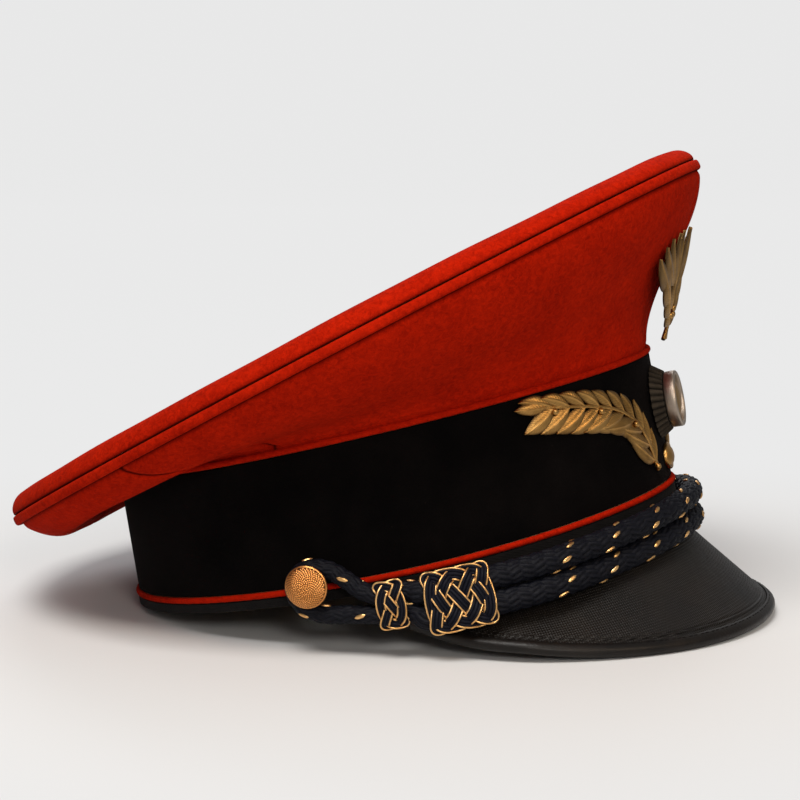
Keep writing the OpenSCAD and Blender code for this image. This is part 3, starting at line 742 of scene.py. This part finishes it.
# Flat cuts of the side panels: width and height in metres, and area in square metres
FRONT_CUT, REAR_CUT = (0.271, 0.075, 0.0115), (0.15, 0.054, 0.0066)


def soft_waves(phi, t):
    """Slow unevenness of worn felt, in millimetres."""
    a, b = np.radians(phi), 2 * np.pi * t
    return (0.35 * np.sin(3 * a + 0.7 * b + 1) + 0.28 * np.sin(7 * a - 1.3 * b + 2.1) * np.cos(0.5 * b)
            + 0.14 * np.sin(17 * a + 0.9 * b))


def crown_top():
    turns = np.linspace(0, 1, 18)
    start = math.degrees(math.asin((WELT_HALF + GAP) / ROLL_H))
    inner_r, inner_h = ROLL_R - FELT, ROLL_H - FELT
    inner_start = math.degrees(math.asin((WELT_HALF + GAP) / inner_h))
    flat = np.concatenate([[0.004, 0.03], np.linspace(0.08, 0.97, 26)])
    rings = []
    shades = [0.0] * len(flat)
    for f in flat:
        ripple = 0.5 * soft_waves(RING, f) * f
        rings.append(crown_disc(RING, np.full_like(RING, f), ROLL_H - dip(f) + ripple))
    for t in turns[::-1]:
        a = lerp(start, 90, t)
        pucker = (1 - t) ** 2 * 0.12 * np.sin(np.radians(RING * 97)) - 0.8 * (1 - t) ** 9
        ripple = 0.5 * soft_waves(RING, 1.0) * t
        rings.append(edge(RING, -ROLL_R * (1 - cosd(a)) + pucker, ROLL_H * sind(a) + ripple))
        # Painted shade in the groove where the top meets the welt.
        shades.append((1 - t) ** 22)
    for t in turns[::3]:
        a = lerp(inner_start, 90, t)
        rings.append(edge(RING, -FELT - inner_r * (1 - cosd(a)), inner_h * sind(a)))
    for f in flat[::-4]:
        rings.append(crown_disc(RING, np.full_like(RING, f), inner_h - dip(f)))
    shades = np.repeat(shades + [0.0] * (len(rings) - len(shades)), len(RING))
    top = Build().loft(rings, flow=shaded(shades)).piece(
        "crown_top_felt", [RED], slot="red_felt", stands_for=["crown_top"])


def crown_panel(name, low, high, node, mirror, cut):
    """A felt side panel between two seams, each an angle at the band and one at the edge."""
    u = 0.5 - 0.5 * np.cos(np.pi * np.linspace(0, 1, 150))
    t = 0.5 - 0.5 * np.cos(np.pi * np.linspace(0, 1, 46))
    grid_t, grid_u = np.meshgrid(t, u)
    phi = lerp(lerp(low[0], low[1], grid_t), lerp(high[0], high[1], grid_t), grid_u)
    width = 1.8 * (high[0] - low[0])
    to_seam = np.minimum(grid_u, 1 - grid_u) * width
    to_welt, to_band = (1 - grid_t) * 60, grid_t * 60
    tuck = 0.75 * np.exp(-(to_seam / 1.3) ** 2) + 0.9 * np.exp(-(to_welt / 1.2) ** 2) + 0.3 * np.exp(-to_band ** 2)
    middle = np.sin(np.pi * grid_t)
    normal = side_normal(phi, grid_t)
    outer = side(phi, grid_t) + normal * (soft_waves(phi, grid_t) * middle * 0.8 - tuck)[..., None]
    inner = side(phi, grid_t) - normal * FELT
    root = phi[:, :1]
    tucked_in = wall(root, -0.9, top_z(root) + 1.7)
    turned_up = wall(root, -2.2, top_z(root) + 2.3)
    # Painted shade along the groove by the welt and along each seam.
    groove = np.clip(np.exp(-(to_welt / 0.7) ** 2) + 0.8 * np.exp(-(to_seam / 0.5) ** 2), 0, 1)
    shades = np.concatenate([groove[:, :1], groove, groove[:, ::-1], groove[:, :1]], 1)
    build = Build().loft(np.concatenate([tucked_in, outer, inner[:, ::-1], turned_up], 1),
                         flow=shaded(shades))
    if mirror:
        build = build.mirrored()
    made = build.piece(name, [RED], slot="red_felt", stands_for=[node])


def crown_panels():
    front, rear = (HALF_SEAM, HALF_SEAM), (180 - HALF_SEAM, 180 - HALF_SEAM)
    before, after = (SEAM_LOW - HALF_SEAM, SEAM_HIGH - HALF_SEAM), (SEAM_LOW + HALF_SEAM, SEAM_HIGH + HALF_SEAM)
    for mirror, hand in ((False, "left"), (True, "right")):
        crown_panel(f"crown_front_{hand}_felt", front, before, f"crown_front_{hand}", mirror, FRONT_CUT)
        crown_panel(f"crown_rear_{hand}_felt", after, rear, f"crown_rear_{hand}", mirror, REAR_CUT)


def crown_welt():
    phi = np.arange(0, 360, 0.75)
    turn = 2 * np.pi * np.arange(16) / 16
    section = np.stack([signed_power(np.cos(turn), 0.8), WELT_HALF * signed_power(np.sin(turn), 0.8)], -1)
    pucker = 0.07 * np.sin(np.radians(phi * 96))
    rings = np.stack([edge(phi, -0.75 + 0.95 * x + pucker, 0.9 * y) for x, y in section], 1)
    Build().loft(rings, loop=True).piece("crown_welt_felt", [RED], slot="red_felt", stands_for=["crown_welt"])


# ---- Band ----


def band_ring(name, outline, finish, slot, node):
    """A ring round the band from a closed outline of (offset, height) functions of the angle."""
    rings = np.stack([wall(RING, off(RING), z(RING)) for off, z in outline], 1)
    Build().loft(rings, loop=True).piece(name, [finish], slot=slot, stands_for=[node], sharp=50)


def even(value):
    return lambda phi: value + 0 * phi


def rounded(outer, inner, low, high, r, rows=8):
    """Outline of a thick wall with rounded outer corners, as (offset, height) functions."""
    turn = np.linspace(0, 90, 5)
    corner_low = [(even(outer - r + r * sind(a)), (lambda p, a=a: low(p) + r - r * cosd(a))) for a in turn]
    rise = [(even(outer), (lambda p, f=f: lerp(low(p) + r, high(p) - r, f))) for f in np.linspace(0, 1, rows)[1:-1]]
    corner_high = [(even(outer - r + r * cosd(a)), (lambda p, a=a: high(p) - r + r * sind(a))) for a in turn]
    return corner_low + rise + corner_high + [(even(inner), high), (even(inner), low)]


def band():
    cover = rounded(0, -COVER_T, lambda p: low_z(p) + PIPING_R + GAP, lambda p: top_z(p) - GAP, 0.5, 14)
    hem = rounded(HEM_OUT, -COVER_T, even(-HEM_H), lambda p: low_z(p) - PIPING_R - GAP, 0.5)
    sweat = rounded(SWEAT_OUT, SWEAT_IN, even(1.1 - HEM_H), even(SWEAT_TOP), 0.3, 10)
    band_ring("band_cover_velvet", cover, VELVET, "black_velvet", "band_cover")
    band_ring("band_hem_cloth", hem, CLOTH, "black_cloth", "band_hem")
    band_ring("sweatband_leather", sweat, SWEAT, "sweat_leather", "sweatband")


def piping(name, r, off, height, node):
    """Cord in a folded strip of cloth, with the fold's fine puckers."""
    phi = np.arange(0, 360, 0.75)
    rings = []
    for k in range(14):
        turn = 360 * k / 14
        swell = r * (1 + 0.035 * np.sin(np.radians(phi * 130 + 40 * k)))
        rings.append(wall(phi, off + swell * cosd(turn), height(phi) + swell * sind(turn)))
    Build().loft(np.stack(rings, 1), loop=True).piece(name, [RED_EDGING], slot="red_piping", stands_for=[node])


def lining():
    rim = BAG_H - dip(0.8) - GAP
    phi = RING
    gather = 0.5 * np.sin(np.radians(phi * 24)) + 0.3 * np.sin(np.radians(phi * 41 + 20))
    rows, back = [], []
    for t in np.linspace(0, 1, 14):
        swing = gather * math.sin(math.pi * t) * 0.8
        knee = wall(phi, -4.8, top_z(phi) + 2.5)
        a, b = wall(phi, -3.3, LINING_LOW), bag(phi, 1, rim)
        low, high, share = (a, knee, t / 0.35) if t < 0.35 else (knee, b, (t - 0.35) / 0.65)
        rows.append(lerp(low, high, share) + wall_normal(phi) * (swing - 0.5 * math.sin(math.pi * t))[:, None])
        back.append(rows[-1] - wall_normal(phi) * 0.6)
    Build().loft(np.stack(rows + back[::-1], 1), loop=True).piece(
        "lining_side_satin", [SATIN], slot="lining_satin", stands_for=["lining_side"])
    flat = np.concatenate([[0.01], np.linspace(0.08, 0.995, 16)])
    upper = [bag(phi, f, BAG_H + 0.6 - dip(0.8 * f)) for f in flat]
    lower = [bag(phi, f, BAG_H - dip(0.8 * f)) for f in flat[::-1]]
    Build().loft(upper + lower).piece("lining_top_satin", [SATIN], slot="lining_satin", stands_for=["lining_top"])


def bow():
    """The small ribbon bow at the back of the sweatband."""
    build = Build()
    base, inwards = wall(180, SWEAT_IN - 1.2, 6), -wall_normal(180)
    along, turn = np.linspace(0.03, 1, 12), 2 * np.pi * np.arange(12) / 12
    for s in (-1, 1):
        sections = []
        for f in along:
            lift = math.sin(math.pi * f)
            spot = base + np.array([0, s * 9 * f, 0.88 * lift]) + inwards * 0.5 * lift
            wide = 1.0 + 2.2 * math.sin(math.pi * 0.5 * f)
            sections.append(spot + np.outer(np.cos(turn) * wide, (0, 0, 1)) + np.outer(np.sin(turn) * 0.45, inwards))
        build.loft(sections)
    bead(build, base, np.array([0, 0, 1.0]), inwards, (1.7, 1.1, 0.8))
    build.piece("sweatband_ribbon_bow", [CLOTH], slot="ribbon", stands_for=["sweatband_bow"])


# ---- Visor ----


def visor_sheet(name, top, bottom, finish, slot, node, groove=False):
    phi = np.linspace(-VISOR_END, VISOR_END, 241)
    t = np.concatenate([np.linspace(0, 0.17, 5), np.linspace(0.19, 0.24, 7), np.linspace(0.27, 0.8, 22),
                        np.linspace(0.815, 0.97, 34)])
    grid_t, grid_phi = np.meshgrid(t, phi)
    depth = np.full_like(grid_t, top)
    if groove:
        rim = visor_face(phi, 1.0, 0)
        to_rim = np.linalg.norm(visor_face(grid_phi, grid_t, 0) - rim[:, None], axis=-1)
        for place in (4.2, 5.6):
            depth = depth + 0.32 * np.exp(-((to_rim - place) / 0.28) ** 2)
        depth = depth - 0.2 * np.exp(-((to_rim - 4.9) / 0.45) ** 2)
    outer, inner = visor_face(grid_phi, grid_t, depth), visor_face(grid_phi, grid_t, bottom)
    step = np.linalg.norm(np.diff(outer, axis=1), axis=-1)
    across = np.concatenate([np.zeros((len(phi), 1)), np.cumsum(step, 1)], 1)
    flow = points(grid_phi * 2.15, across, 0 * across)
    both = np.concatenate([flow, flow[:, ::-1]], 1)
    Build().loft(np.concatenate([outer, inner[:, ::-1]], 1), flow=both).piece(
        name, [finish], slot=slot, stands_for=[node], sharp=60)


def visor_binding():
    """A leather strip folded round the rim and stitched down."""
    phi = np.linspace(-VISOR_END, VISOR_END, 301)
    e, r = visor_face(phi, 1.0, 0), visor_face(phi, 0.9, 0)
    d = unit(e - r)
    u = unit(np.cross(d, visor_face(phi + 1, 1.0, 0) - visor_face(phi - 1, 1.0, 0)))
    m = e - u * (VISOR_T / 2 + 0.4)
    outline = [(-2.75, 1.62), (-2.3, 1.95), (-1.2, 2.15), (0, 2.15), (0.9, 1.75), (1.55, 1.1), (1.8, 0.35),
               (1.8, -0.35), (1.55, -1.1), (0.9, -1.75), (0, -2.1), (-1.2, -2.1), (-2.3, -1.9), (-2.75, -1.6),
               (-2.6, -1.5), (0.2, -1.5), (0.2, 1.5), (-2.6, 1.5)]
    rings = np.stack([m + d * a + u * b for a, b in outline], 1)
    build = Build().loft(rings)
    build.piece("visor_binding_leather", [BINDING], slot="visor_binding", stands_for=["visor_binding"], sharp=60)
    threads = Build()
    line = m + d * -1.9 + u * 2.02
    s = path_length(line)
    for place in np.arange(3, s[-1] - 3, 2.6):
        i = int(np.searchsorted(s, place))
        along = unit(line[min(i + 1, len(line) - 1)] - line[i - 1])
        bead(threads, line[i], along, u[i], (0.95, 0.22, 0.16), rings=5, sides=6)
    threads.piece("visor_binding_stitches", [CLOTH], slot="visor_binding")


# ---- Chin cords and knots ----

# Angles between which a sliding knot may hide a cord
KNOT_REACH = (57, 77)


def chin_cord(name, s, node, shift):
    phi = np.arange(-CORD_END, CORD_END + 0.01, 0.27)
    path = near_pair(phi, 0, s * pair_half(phi))
    build, gold = Build(), Build()
    radius = pair_r(phi)
    braid(build, path, wall_normal(phi), radius, 12, 4.3, 1.15, shift=shift)
    build.piece(name, [NAVY], slot="chin_cord", stands_for=[node], sharp=180)
    under_knot = (np.abs(phi) > KNOT_REACH[0]) & (np.abs(phi) < KNOT_REACH[1])
    flecks(gold, path, wall_normal(phi), radius, -20.0, 3.6, 2 + shift, -0.35, under_knot)
    gold.piece(name + "_gold", [GOLD], slot="chin_cord")


def side_loops():
    route = np.array(LOOP)
    phi = BUTTON_PHI - route[:, 0] * PHI_PER_MM
    rough_path = wall(phi, 4.9 + 1.7 * ease(8, 22, route[:, 0]), BUTTON_Z + route[:, 1])
    path = resample(rough_path, 0.45)
    outward = np.tile(wall_normal(90.0), (len(path), 1))
    build, gold = Build(), Build()
    radius = np.full(len(path), LOOP_R)
    braid(build, path, outward, radius, 12, 3.4, 0.9, sides=60)
    flecks(gold, path, outward, radius, 17.0, 6.4, 4, 0.35)
    for hand, made, glints in (("left", build, gold), ("right", build.mirrored(), gold.mirrored())):
        made.piece(f"{hand}_side_loop", [NAVY], slot="chin_cord", stands_for=[f"{hand}_cord_loop"], sharp=180)
        glints.piece(f"{hand}_side_loop_gold", [GOLD], slot="chin_cord")


# Degrees that a plait wraps over its sleeve, up and down from the middle
FOLD = 80.0


def mat_path(m, n):
    """A closed woven mat: its path in a square of half size 1, and how far over (+1) or under (-1) it runs."""
    count, apart = 1600, 6
    tau = 2 * np.pi * np.arange(count) / count
    p = np.stack([np.cos(m * tau + math.pi / (2 * n) * 0.9), np.cos(n * tau)], -1)
    q = np.roll(p, -1, 0)
    crossings = []
    for i in range(count):
        j = np.arange(i + apart, count - (3 if i < 3 else 0))
        run, other, offset = q[i] - p[i], q[j] - p[j], p[j] - p[i]
        cross = run[0] * other[:, 1] - run[1] * other[:, 0]
        cross = np.where(np.abs(cross) < 1e-12, 1e-12, cross)
        t = (offset[:, 0] * other[:, 1] - offset[:, 1] * other[:, 0]) / cross
        v = (offset[:, 0] * run[1] - offset[:, 1] * run[0]) / cross
        for k in np.nonzero((t >= 0) & (t < 1) & (v >= 0) & (v < 1))[0]:
            crossings += [i + t[k], j[k] + v[k]]
    crossings = np.sort(np.array(crossings))
    sign = np.where(np.arange(len(crossings)) % 2 == 0, 1.0, -1.0)
    where = np.concatenate([crossings[-1:] - count, crossings, crossings[:1] + count])
    level = np.concatenate([sign[-1:], sign, sign[:1]])
    k = np.clip(np.searchsorted(where, np.arange(count)) - 1, 0, len(where) - 2)
    share = (np.arange(count) - where[k]) / (where[k + 1] - where[k])
    return p, lerp(level[k], level[k + 1], share * share * (3 - 2 * share))


def woven_knot(name, body, node, phi, half, passage, outside, pattern, width, hand):
    """A flat plait of three-ply strands with a gold wire along each edge, sewn on a sleeve round both cords."""
    core, us = Build(), np.linspace(-0.9, 0.9, 15)
    turn = np.arange(0, 360, 7.5)

    def outline(a, b, power):
        return a * signed_power(cosd(turn), 2 / power), b * signed_power(sind(turn), 2 / power)

    ox, oy = outline(outside[0] - 1.8, outside[1] - 1.8, 3)
    qx, qy = outline(*passage, 4)
    narrower = 1 - 0.04 * us * us
    rings = [near_pair(phi + u * half, ox * f, oy * f) for u, f in zip(us, narrower)]
    rings += [near_pair(phi + u * half, qx, qy) for u in us[::-1]]
    # Painted shade: the sleeve under the plait is painted almost fully dark.
    dark = np.tile((0, 0, 0.9), (len(rings) * len(turn), 1))
    core.loft(np.stack(rings, 1), loop=True, flow=dark)
    square, level = mat_path(*pattern)
    height, depth = outside[1] - 0.42 * width, outside[0] - 1.0
    share = 1 - 0.42 * width / (half / PHI_PER_MM)

    def on_sleeve(lift):
        """Lays the plait over the sleeve's outer half, round at its top and bottom."""
        a = square[:, 1] * FOLD
        out = depth * np.maximum(cosd(a), 0.02) ** 0.35 + lift
        return near_pair(phi + square[:, 0] * half * share, out, height * sind(a))

    lift = 0.1 + 0.75 * level
    path = on_sleeve(lift)
    outward = unit(on_sleeve(lift + 1) - path)
    ply = width / 6
    for k in (-1, 0, 1):
        profile = round_profile(1.08 * ply, 10, 0.95) + (2 * k * ply, 0.12 * (1 - abs(k)))
        # Painted shade: each ply is darker towards its underside, where it meets its neighbours and the sleeve.
        shade = np.clip(0.9 - profile[:, 1] / ply, 0, 1) * 0.8
        flow = np.tile(shaded(shade), (len(path), 1))
        sweep(core, path, outward, profile, loop=True, flow=flow)
    for s in (-1, 1):
        profile = round_profile(0.36, 8) + (s * width * 0.54, 0.15)
        sweep(core, path, outward, profile, loop=True, kind=1)
    made = core if hand == "left" else core.mirrored()
    return made.piece(name, [NAVY_KNOT, GOLD], body=body, slot="knot_cord", stands_for=[node], sharp=180)


def knots():
    for hand in ("left", "right"):
        woven_knot(f"{hand}_sliding_knot_plait", f"{hand}_sliding_knot", f"{hand}_sliding_knot", SLIDE_PHI, 5.8,
                   (CORD_R + 0.5, 9.3), (6.1, 10.4), (3, 4), 3.5, hand)
        woven_knot(f"{hand}_fixed_knot_plait", "cap", f"{hand}_fixed_knot", TIE_PHI, 2.4, (LOOP_R + 0.5, 7.1),
                   (4.9, 8.1), (3, 2), 2.7, hand)


# ---- Round fittings ----


def on_axis(phi, z):
    """Maps (radius, height off the band, angle) round an axis square to the band."""
    origin, normal = wall(phi, 0, z)[()], wall_normal(phi)[()]
    across = np.array([-normal[1], normal[0], 0])

    def place(r, h, turn):
        r, h, turn = np.broadcast_arrays(r, h, turn)
        return (origin + normal * h[..., None] + across * (r * cosd(turn))[..., None]
                + np.array([0, 0, 1.0]) * (r * sind(turn))[..., None])
    return place


def button():
    """A pebbled dome with a rolled rim, on a wire shank. The pebbles follow a sunflower's spiral."""
    dome_h, rim_h, field, pebbles, golden_angle = 3.4, 1.0, 7.0, 320, 137.50776
    turn = np.arange(0, 360, 1.0)
    place, build = on_axis(BUTTON_PHI, BUTTON_Z), Build()
    seeds = np.arange(pebbles)
    seed_r, seed_a = field * np.sqrt((seeds + 0.5) / pebbles), seeds * math.radians(golden_angle)
    seed_x, seed_y = seed_r * np.cos(seed_a), seed_r * np.sin(seed_a)
    ball = (BUTTON_R ** 2 + dome_h ** 2) / (2 * dome_h)
    rings = [place(r, BUTTON_SEAT, turn) for r in (0.05, 3, 6, BUTTON_R - 0.5)]
    shades = [0 * turn] * 13
    for a in np.linspace(-90, 90, 9):
        rings.append(place(BUTTON_R - 0.5 + 0.5 * cosd(a), BUTTON_SEAT + 0.5 + 0.5 * sind(a), turn))
    for r in np.linspace(BUTTON_R - 0.55, 0.04, 58):
        x, y = r * cosd(turn), r * sind(turn)
        near = np.min((x[:, None] - seed_x) ** 2 + (y[:, None] - seed_y) ** 2, 1)
        swell = np.sqrt(np.maximum(1 - near / 0.135, 0)) * (r < field)
        dome = math.sqrt(ball ** 2 - (r * 7.5 / 7.4) ** 2) - (ball - dome_h) if r < 7.3 else 0.1
        rings.append(place(r, BUTTON_SEAT + rim_h + dome * 0.93 + 0.3 * swell, turn))
        # Painted shade in the hollows between pebbles.
        shades.append(np.clip(0.9 - 1.5 * swell, 0, 0.9))
    build.loft(rings, flow=shaded(shades))
    shank_turn = np.arange(0, 360, 20.0)
    build.loft([place(SHANK_R, h, shank_turn) for h in (CLIP_OFF - 0.3, 0, 4, BUTTON_SEAT + 0.2)])
    for hand, made in (("left", build), ("right", build.mirrored())):
        made.piece(f"{hand}_button_dome", [COPPER], body=f"{hand}_button", slot="button_brass",
                   stands_for=[f"{hand}_button"], sharp=75)


def rosette():
    """Pleated cloth, a silver cup and a plain boss, from the band outwards."""
    place = on_axis(0.0, ROSETTE_Z)
    turn = np.arange(0, 360, 1.25)
    fold = np.abs(cosd(turn * 15)) ** 0.7
    rings = [place(1.0, 0.4, turn)]
    for h, r in zip(np.linspace(0.4, 4.4, 9), np.linspace(13.2, 10.4, 9)):
        rings.append(place(r + 1.7 * (fold - 0.75) * (0.7 + 0.3 * h / 4.4), h, turn))
    rings.append(place(8.0, 4.4, turn))
    rings.append(place(1.0, 4.4, turn))
    # Painted shade in the valleys between pleats.
    flow = shaded(np.tile(0.95 - 0.95 * fold, (len(rings), 1)))
    Build().loft(rings, loop=True, flow=flow).piece(
        "rosette_pleated_cloth", [PLEAT], slot="pleats", stands_for=["rosette_pleats"], sharp=70)
    ring_turn = np.arange(0, 360, 3.0)
    cup = [(1.0, 4.6), (9.2, 4.6), (9.9, 4.75), (10.2, 5.2), (10.25, 8.2), (10.1, 8.75), (9.75, 9.0), (9.3, 9.0),
           (8.95, 8.75), (8.8, 8.2), (8.75, 5.9), (8.6, 5.62), (1.0, 5.6)]
    Build().loft([place(r, h, ring_turn) for r, h in cup], loop=True).piece(
        "rosette_silver_cup", [SILVER], slot="silver", stands_for=["rosette_cup"], sharp=50)
    boss = [(0.02, 5.75), (7.6, 5.75), (8.0, 5.9), (8.1, 6.3), (7.9, 6.7), (7.2, 7.0), (6.9, 6.8), (6.6, 6.85),
            (6.2, 7.5), (5.2, 8.2), (4.0, 8.65), (2.6, 8.95), (1.2, 9.1), (0.02, 9.15)]
    Build().loft([place(r, h, ring_turn) for r, h in boss]).piece(
        "rosette_plain_boss", [DARK_BRASS], slot="dark_brass", stands_for=["rosette_boss"], sharp=50)


# ---- Badges ----


def leaf(build, surface, root, tip, width, level, bend=0.0):
    """A veined laurel leaf from root to tip on a badge's face, given as surface(x, y, height)."""
    root, tip, dome = np.array(root, float), np.array(tip, float), 0.9
    run = tip - root
    length = np.linalg.norm(run)
    ahead, across = run / length, np.array([-run[1], run[0]]) / length
    w = np.linspace(-1, 1, 17)
    sections, shades = [], []
    for f in np.linspace(0.0, 1.0, 40):
        half = width / 2 * max(math.sin(math.pi * f ** 0.8) ** 0.8, 0.04)
        spot = root + ahead * (f * length) + across * (bend * 4 * f * (1 - f))
        x, y = spot[0] + across[0] * half * w, spot[1] + across[1] * half * w
        body = dome * (1 - np.abs(w) ** 2.2) * (0.35 + 0.65 * math.sin(math.pi * min(f + 0.08, 1)))
        rib = 0.3 * np.exp(-(w * half / 0.35) ** 2)
        vein = 0.13 * np.sin(2 * np.pi * (f * length - 0.9 * np.abs(w) * half) / 1.15) * (1 - np.abs(w) ** 4)
        vein = vein * (np.abs(w * half) > 0.4)
        top = level + 0.35 + body + rib + vein
        front_face = surface(x, y, top)
        back_face = surface(x[::-1], y[::-1], np.full_like(w, level - 0.1))
        sections.append(np.concatenate([front_face, back_face]))
        # Painted shade: low places of the leaf, between its veins and on its back, are painted darker.
        low = np.clip(0.95 - 1.15 * body / dome - 1.2 * rib - 2.2 * vein, 0, 0.85)
        shades.append(np.concatenate([low, np.full_like(w, 0.85)]))
    build.loft(sections, flow=shaded(shades))


def stem(build, surface, route, r, level):
    x, y = resample(route, 0.8).T
    path = surface(x, y, level + 0 * x)
    outward = unit(surface(x, y, level + 1 + 0 * x) - path)
    taper = np.linspace(1, 0.6, len(path))
    sweep(build, path, outward, round_profile(r, 12, 0.9), scale=taper)


def berry(build, surface, x, y, level, half, along, rings, sides):
    """A round berry on a badge's face, its rings standing square to `along`, given from its centre and outwards."""
    centre = surface(x, y, level)
    up = unit(surface(x, y, level + 1) - centre)
    bead(build, centre, unit(along(centre, up)), up, half, rings, sides)


def crown_badge():
    """A fan of two leaf sprays on a crossed stem."""
    def surface(x, y, h):
        return crest_point(x, y, 1.2 - h)

    build = Build()
    for s in (-1, 1):
        tips = [(s * 30.5, 33), (s * 27, 37), (s * 21.5, 39.5), (s * 15, 41), (s * 8.5, 41.5)]
        roots = [(s * 13, 20), (s * 10.5, 21.5), (s * 7.5, 21), (s * 5, 20), (s * 3, 19)]
        for k, (root, tip) in enumerate(zip(roots, tips)):
            leaf(build, surface, root, tip, 7.2, 0.15 + 0.22 * (k % 2), bend=-s * 1.2)
        low = [((s * 9, 13), (s * 22, 26)), ((s * 6, 9), (s * 14.5, 19.5)), ((s * 3, 12), (s * 9, 24.5)),
               ((s * 2, 5.5), (s * 7.5, 13))]
        for k, (root, tip) in enumerate(low):
            leaf(build, surface, root, tip, 5.6, 0.5 + 0.15 * (k % 2), bend=-s * 0.8)
        stem(build, surface, [(s * -2.5, 0.5), (0, 4), (s * 3, 9), (s * 8, 15), (s * 15, 22), (s * 21, 28)], 0.9, 0.9)
    leaf(build, surface, (0, 16), (0, 42), 7.6, 0.6)
    for x, y in ((0, 12.2), (-2.4, 9.6), (2.4, 9.6)):
        berry(build, surface, x, y, 1.6, (1.35, 1.35, 1.1), lambda c, up: surface(x, y + 1, 1.6) - c, 13, 18)
    build.piece("crown_badge_sprays", [BRASS], slot="badge_brass", stands_for=["crown_badge"], sharp=50)


# Millimetres along the band that count as one degree of it, where the branches lie
BRANCH_PITCH = 1.72


def band_badges():
    """A laurel branch along each side of the band's front, and the plain oval where they meet."""
    def surface(x, y, h):
        return wall(x / BRANCH_PITCH, 0.3 + h, y)

    build = Build()
    branch = [(20, 12), (24, 22), (31, 31), (42, 37.5), (56, 41.5), (72, 44.5), (82, 46)]
    stem(build, surface, branch, 0.9, 0.7)
    path = resample(branch, 1.0)
    ahead = unit(np.vstack([path[1:], path[-1:]]) - np.vstack([path[:1], path[:-1]]))
    marks = np.linspace(3, len(path) - 10, 10).astype(int)
    for k, i in enumerate(marks):
        along, square = ahead[i], np.array([-ahead[i][1], ahead[i][0]])
        size = lerp(21.0, 15.0, k / 9)
        for s, lean in ((1, 0.42), (-1, 0.72)):
            away = unit(along + s * lean * square)
            reach = size if s < 0 else min(size, 12.5)
            root, tip = path[i] + away * 0.6, path[i] + away * reach
            over = tip[1] - (49.0 - 0.03 * abs(84 - tip[0]))
            if s > 0 and over > 0:
                tip = tip + np.array([over * 1.2, -over])
            leaf(build, surface, root, tip, 6.4 if s < 0 else 5.0, 0.1 + 0.2 * ((k + (s > 0)) % 2), bend=s * 0.9)
    end = path[-1]
    leaf(build, surface, end + (-6, -0.6), end + (6.5, 0.6), 4.8, 0.4)
    for x, y in path[marks[::3]]:
        berry(build, surface, x, y - 1.6, 1.4, (1.2, 1.2, 1.0), lambda c, up: np.cross(up, (0, 0, 1.0)), 11, 16)
    for hand, made in (("left", build), ("right", build.mirrored())):
        made.piece(f"{hand}_band_spray", [BRASS], slot="badge_brass", stands_for=[f"band_badge_{hand}"], sharp=50)
    turn, wide = np.arange(0, 360, 4.0), 1.7
    profile = [(0.02, 0.3), (4.6, 0.3), (4.9, 0.6), (4.9, 1.3), (4.6, 1.7), (4.2, 1.6), (3.9, 1.45), (3.4, 1.9),
               (2.4, 2.5), (1.2, 2.85), (0.02, 2.95)]
    rings = [wall(np.degrees(r * wide * cosd(turn) / BAND_A) * 1.03, h, 14.2 + r * sind(turn)) for r, h in profile]
    Build().loft(rings).piece("band_badge_plain_oval", [BRASS], slot="badge_brass",
                              stands_for=["band_badge_centre"], sharp=50)


crown_top()
crown_panels()
crown_welt()
band()
piping("upper_piping_cord", 1.15, -0.25, lambda p: top_z(p) + EDGING_R - 0.2, "upper_piping")
piping("lower_piping_cord", PIPING_R, 0.1, low_z, "lower_piping")
lining()
bow()
visor_sheet("visor_leather", 0.0, VISOR_T, VISOR, "visor_board", "visor", groove=True)
visor_sheet("visor_underside", VISOR_T + 0.3, VISOR_T + 0.8, UNDER, "visor_under", "visor_lining")
visor_binding()
chin_cord("chin_cord_upper_braid", 1, "chin_cord_upper", 0.0)
chin_cord("chin_cord_lower_braid", -1, "chin_cord_lower", 1.6)
side_loops()
knots()
button()
rosette()
crown_badge()
band_badges()

CARRIED = {"crown_hoop": STEEL, "crown_interlining": CANVAS, "front_stiffener": CANVAS, "sweat_shield": FILM,
           "band_stiffener": FIBRE, "crown_badge_prongs": PLAIN_BRASS, "rosette_pin": PLAIN_BRASS,
           "rosette_pin_clip": STEEL, "right_button_clip": STEEL, "left_button_clip": STEEL}
for node_name, finish in CARRIED.items():
    node = frame["nodes"][node_name]
    node.data.materials.clear()
    node.data.materials.append(finish)
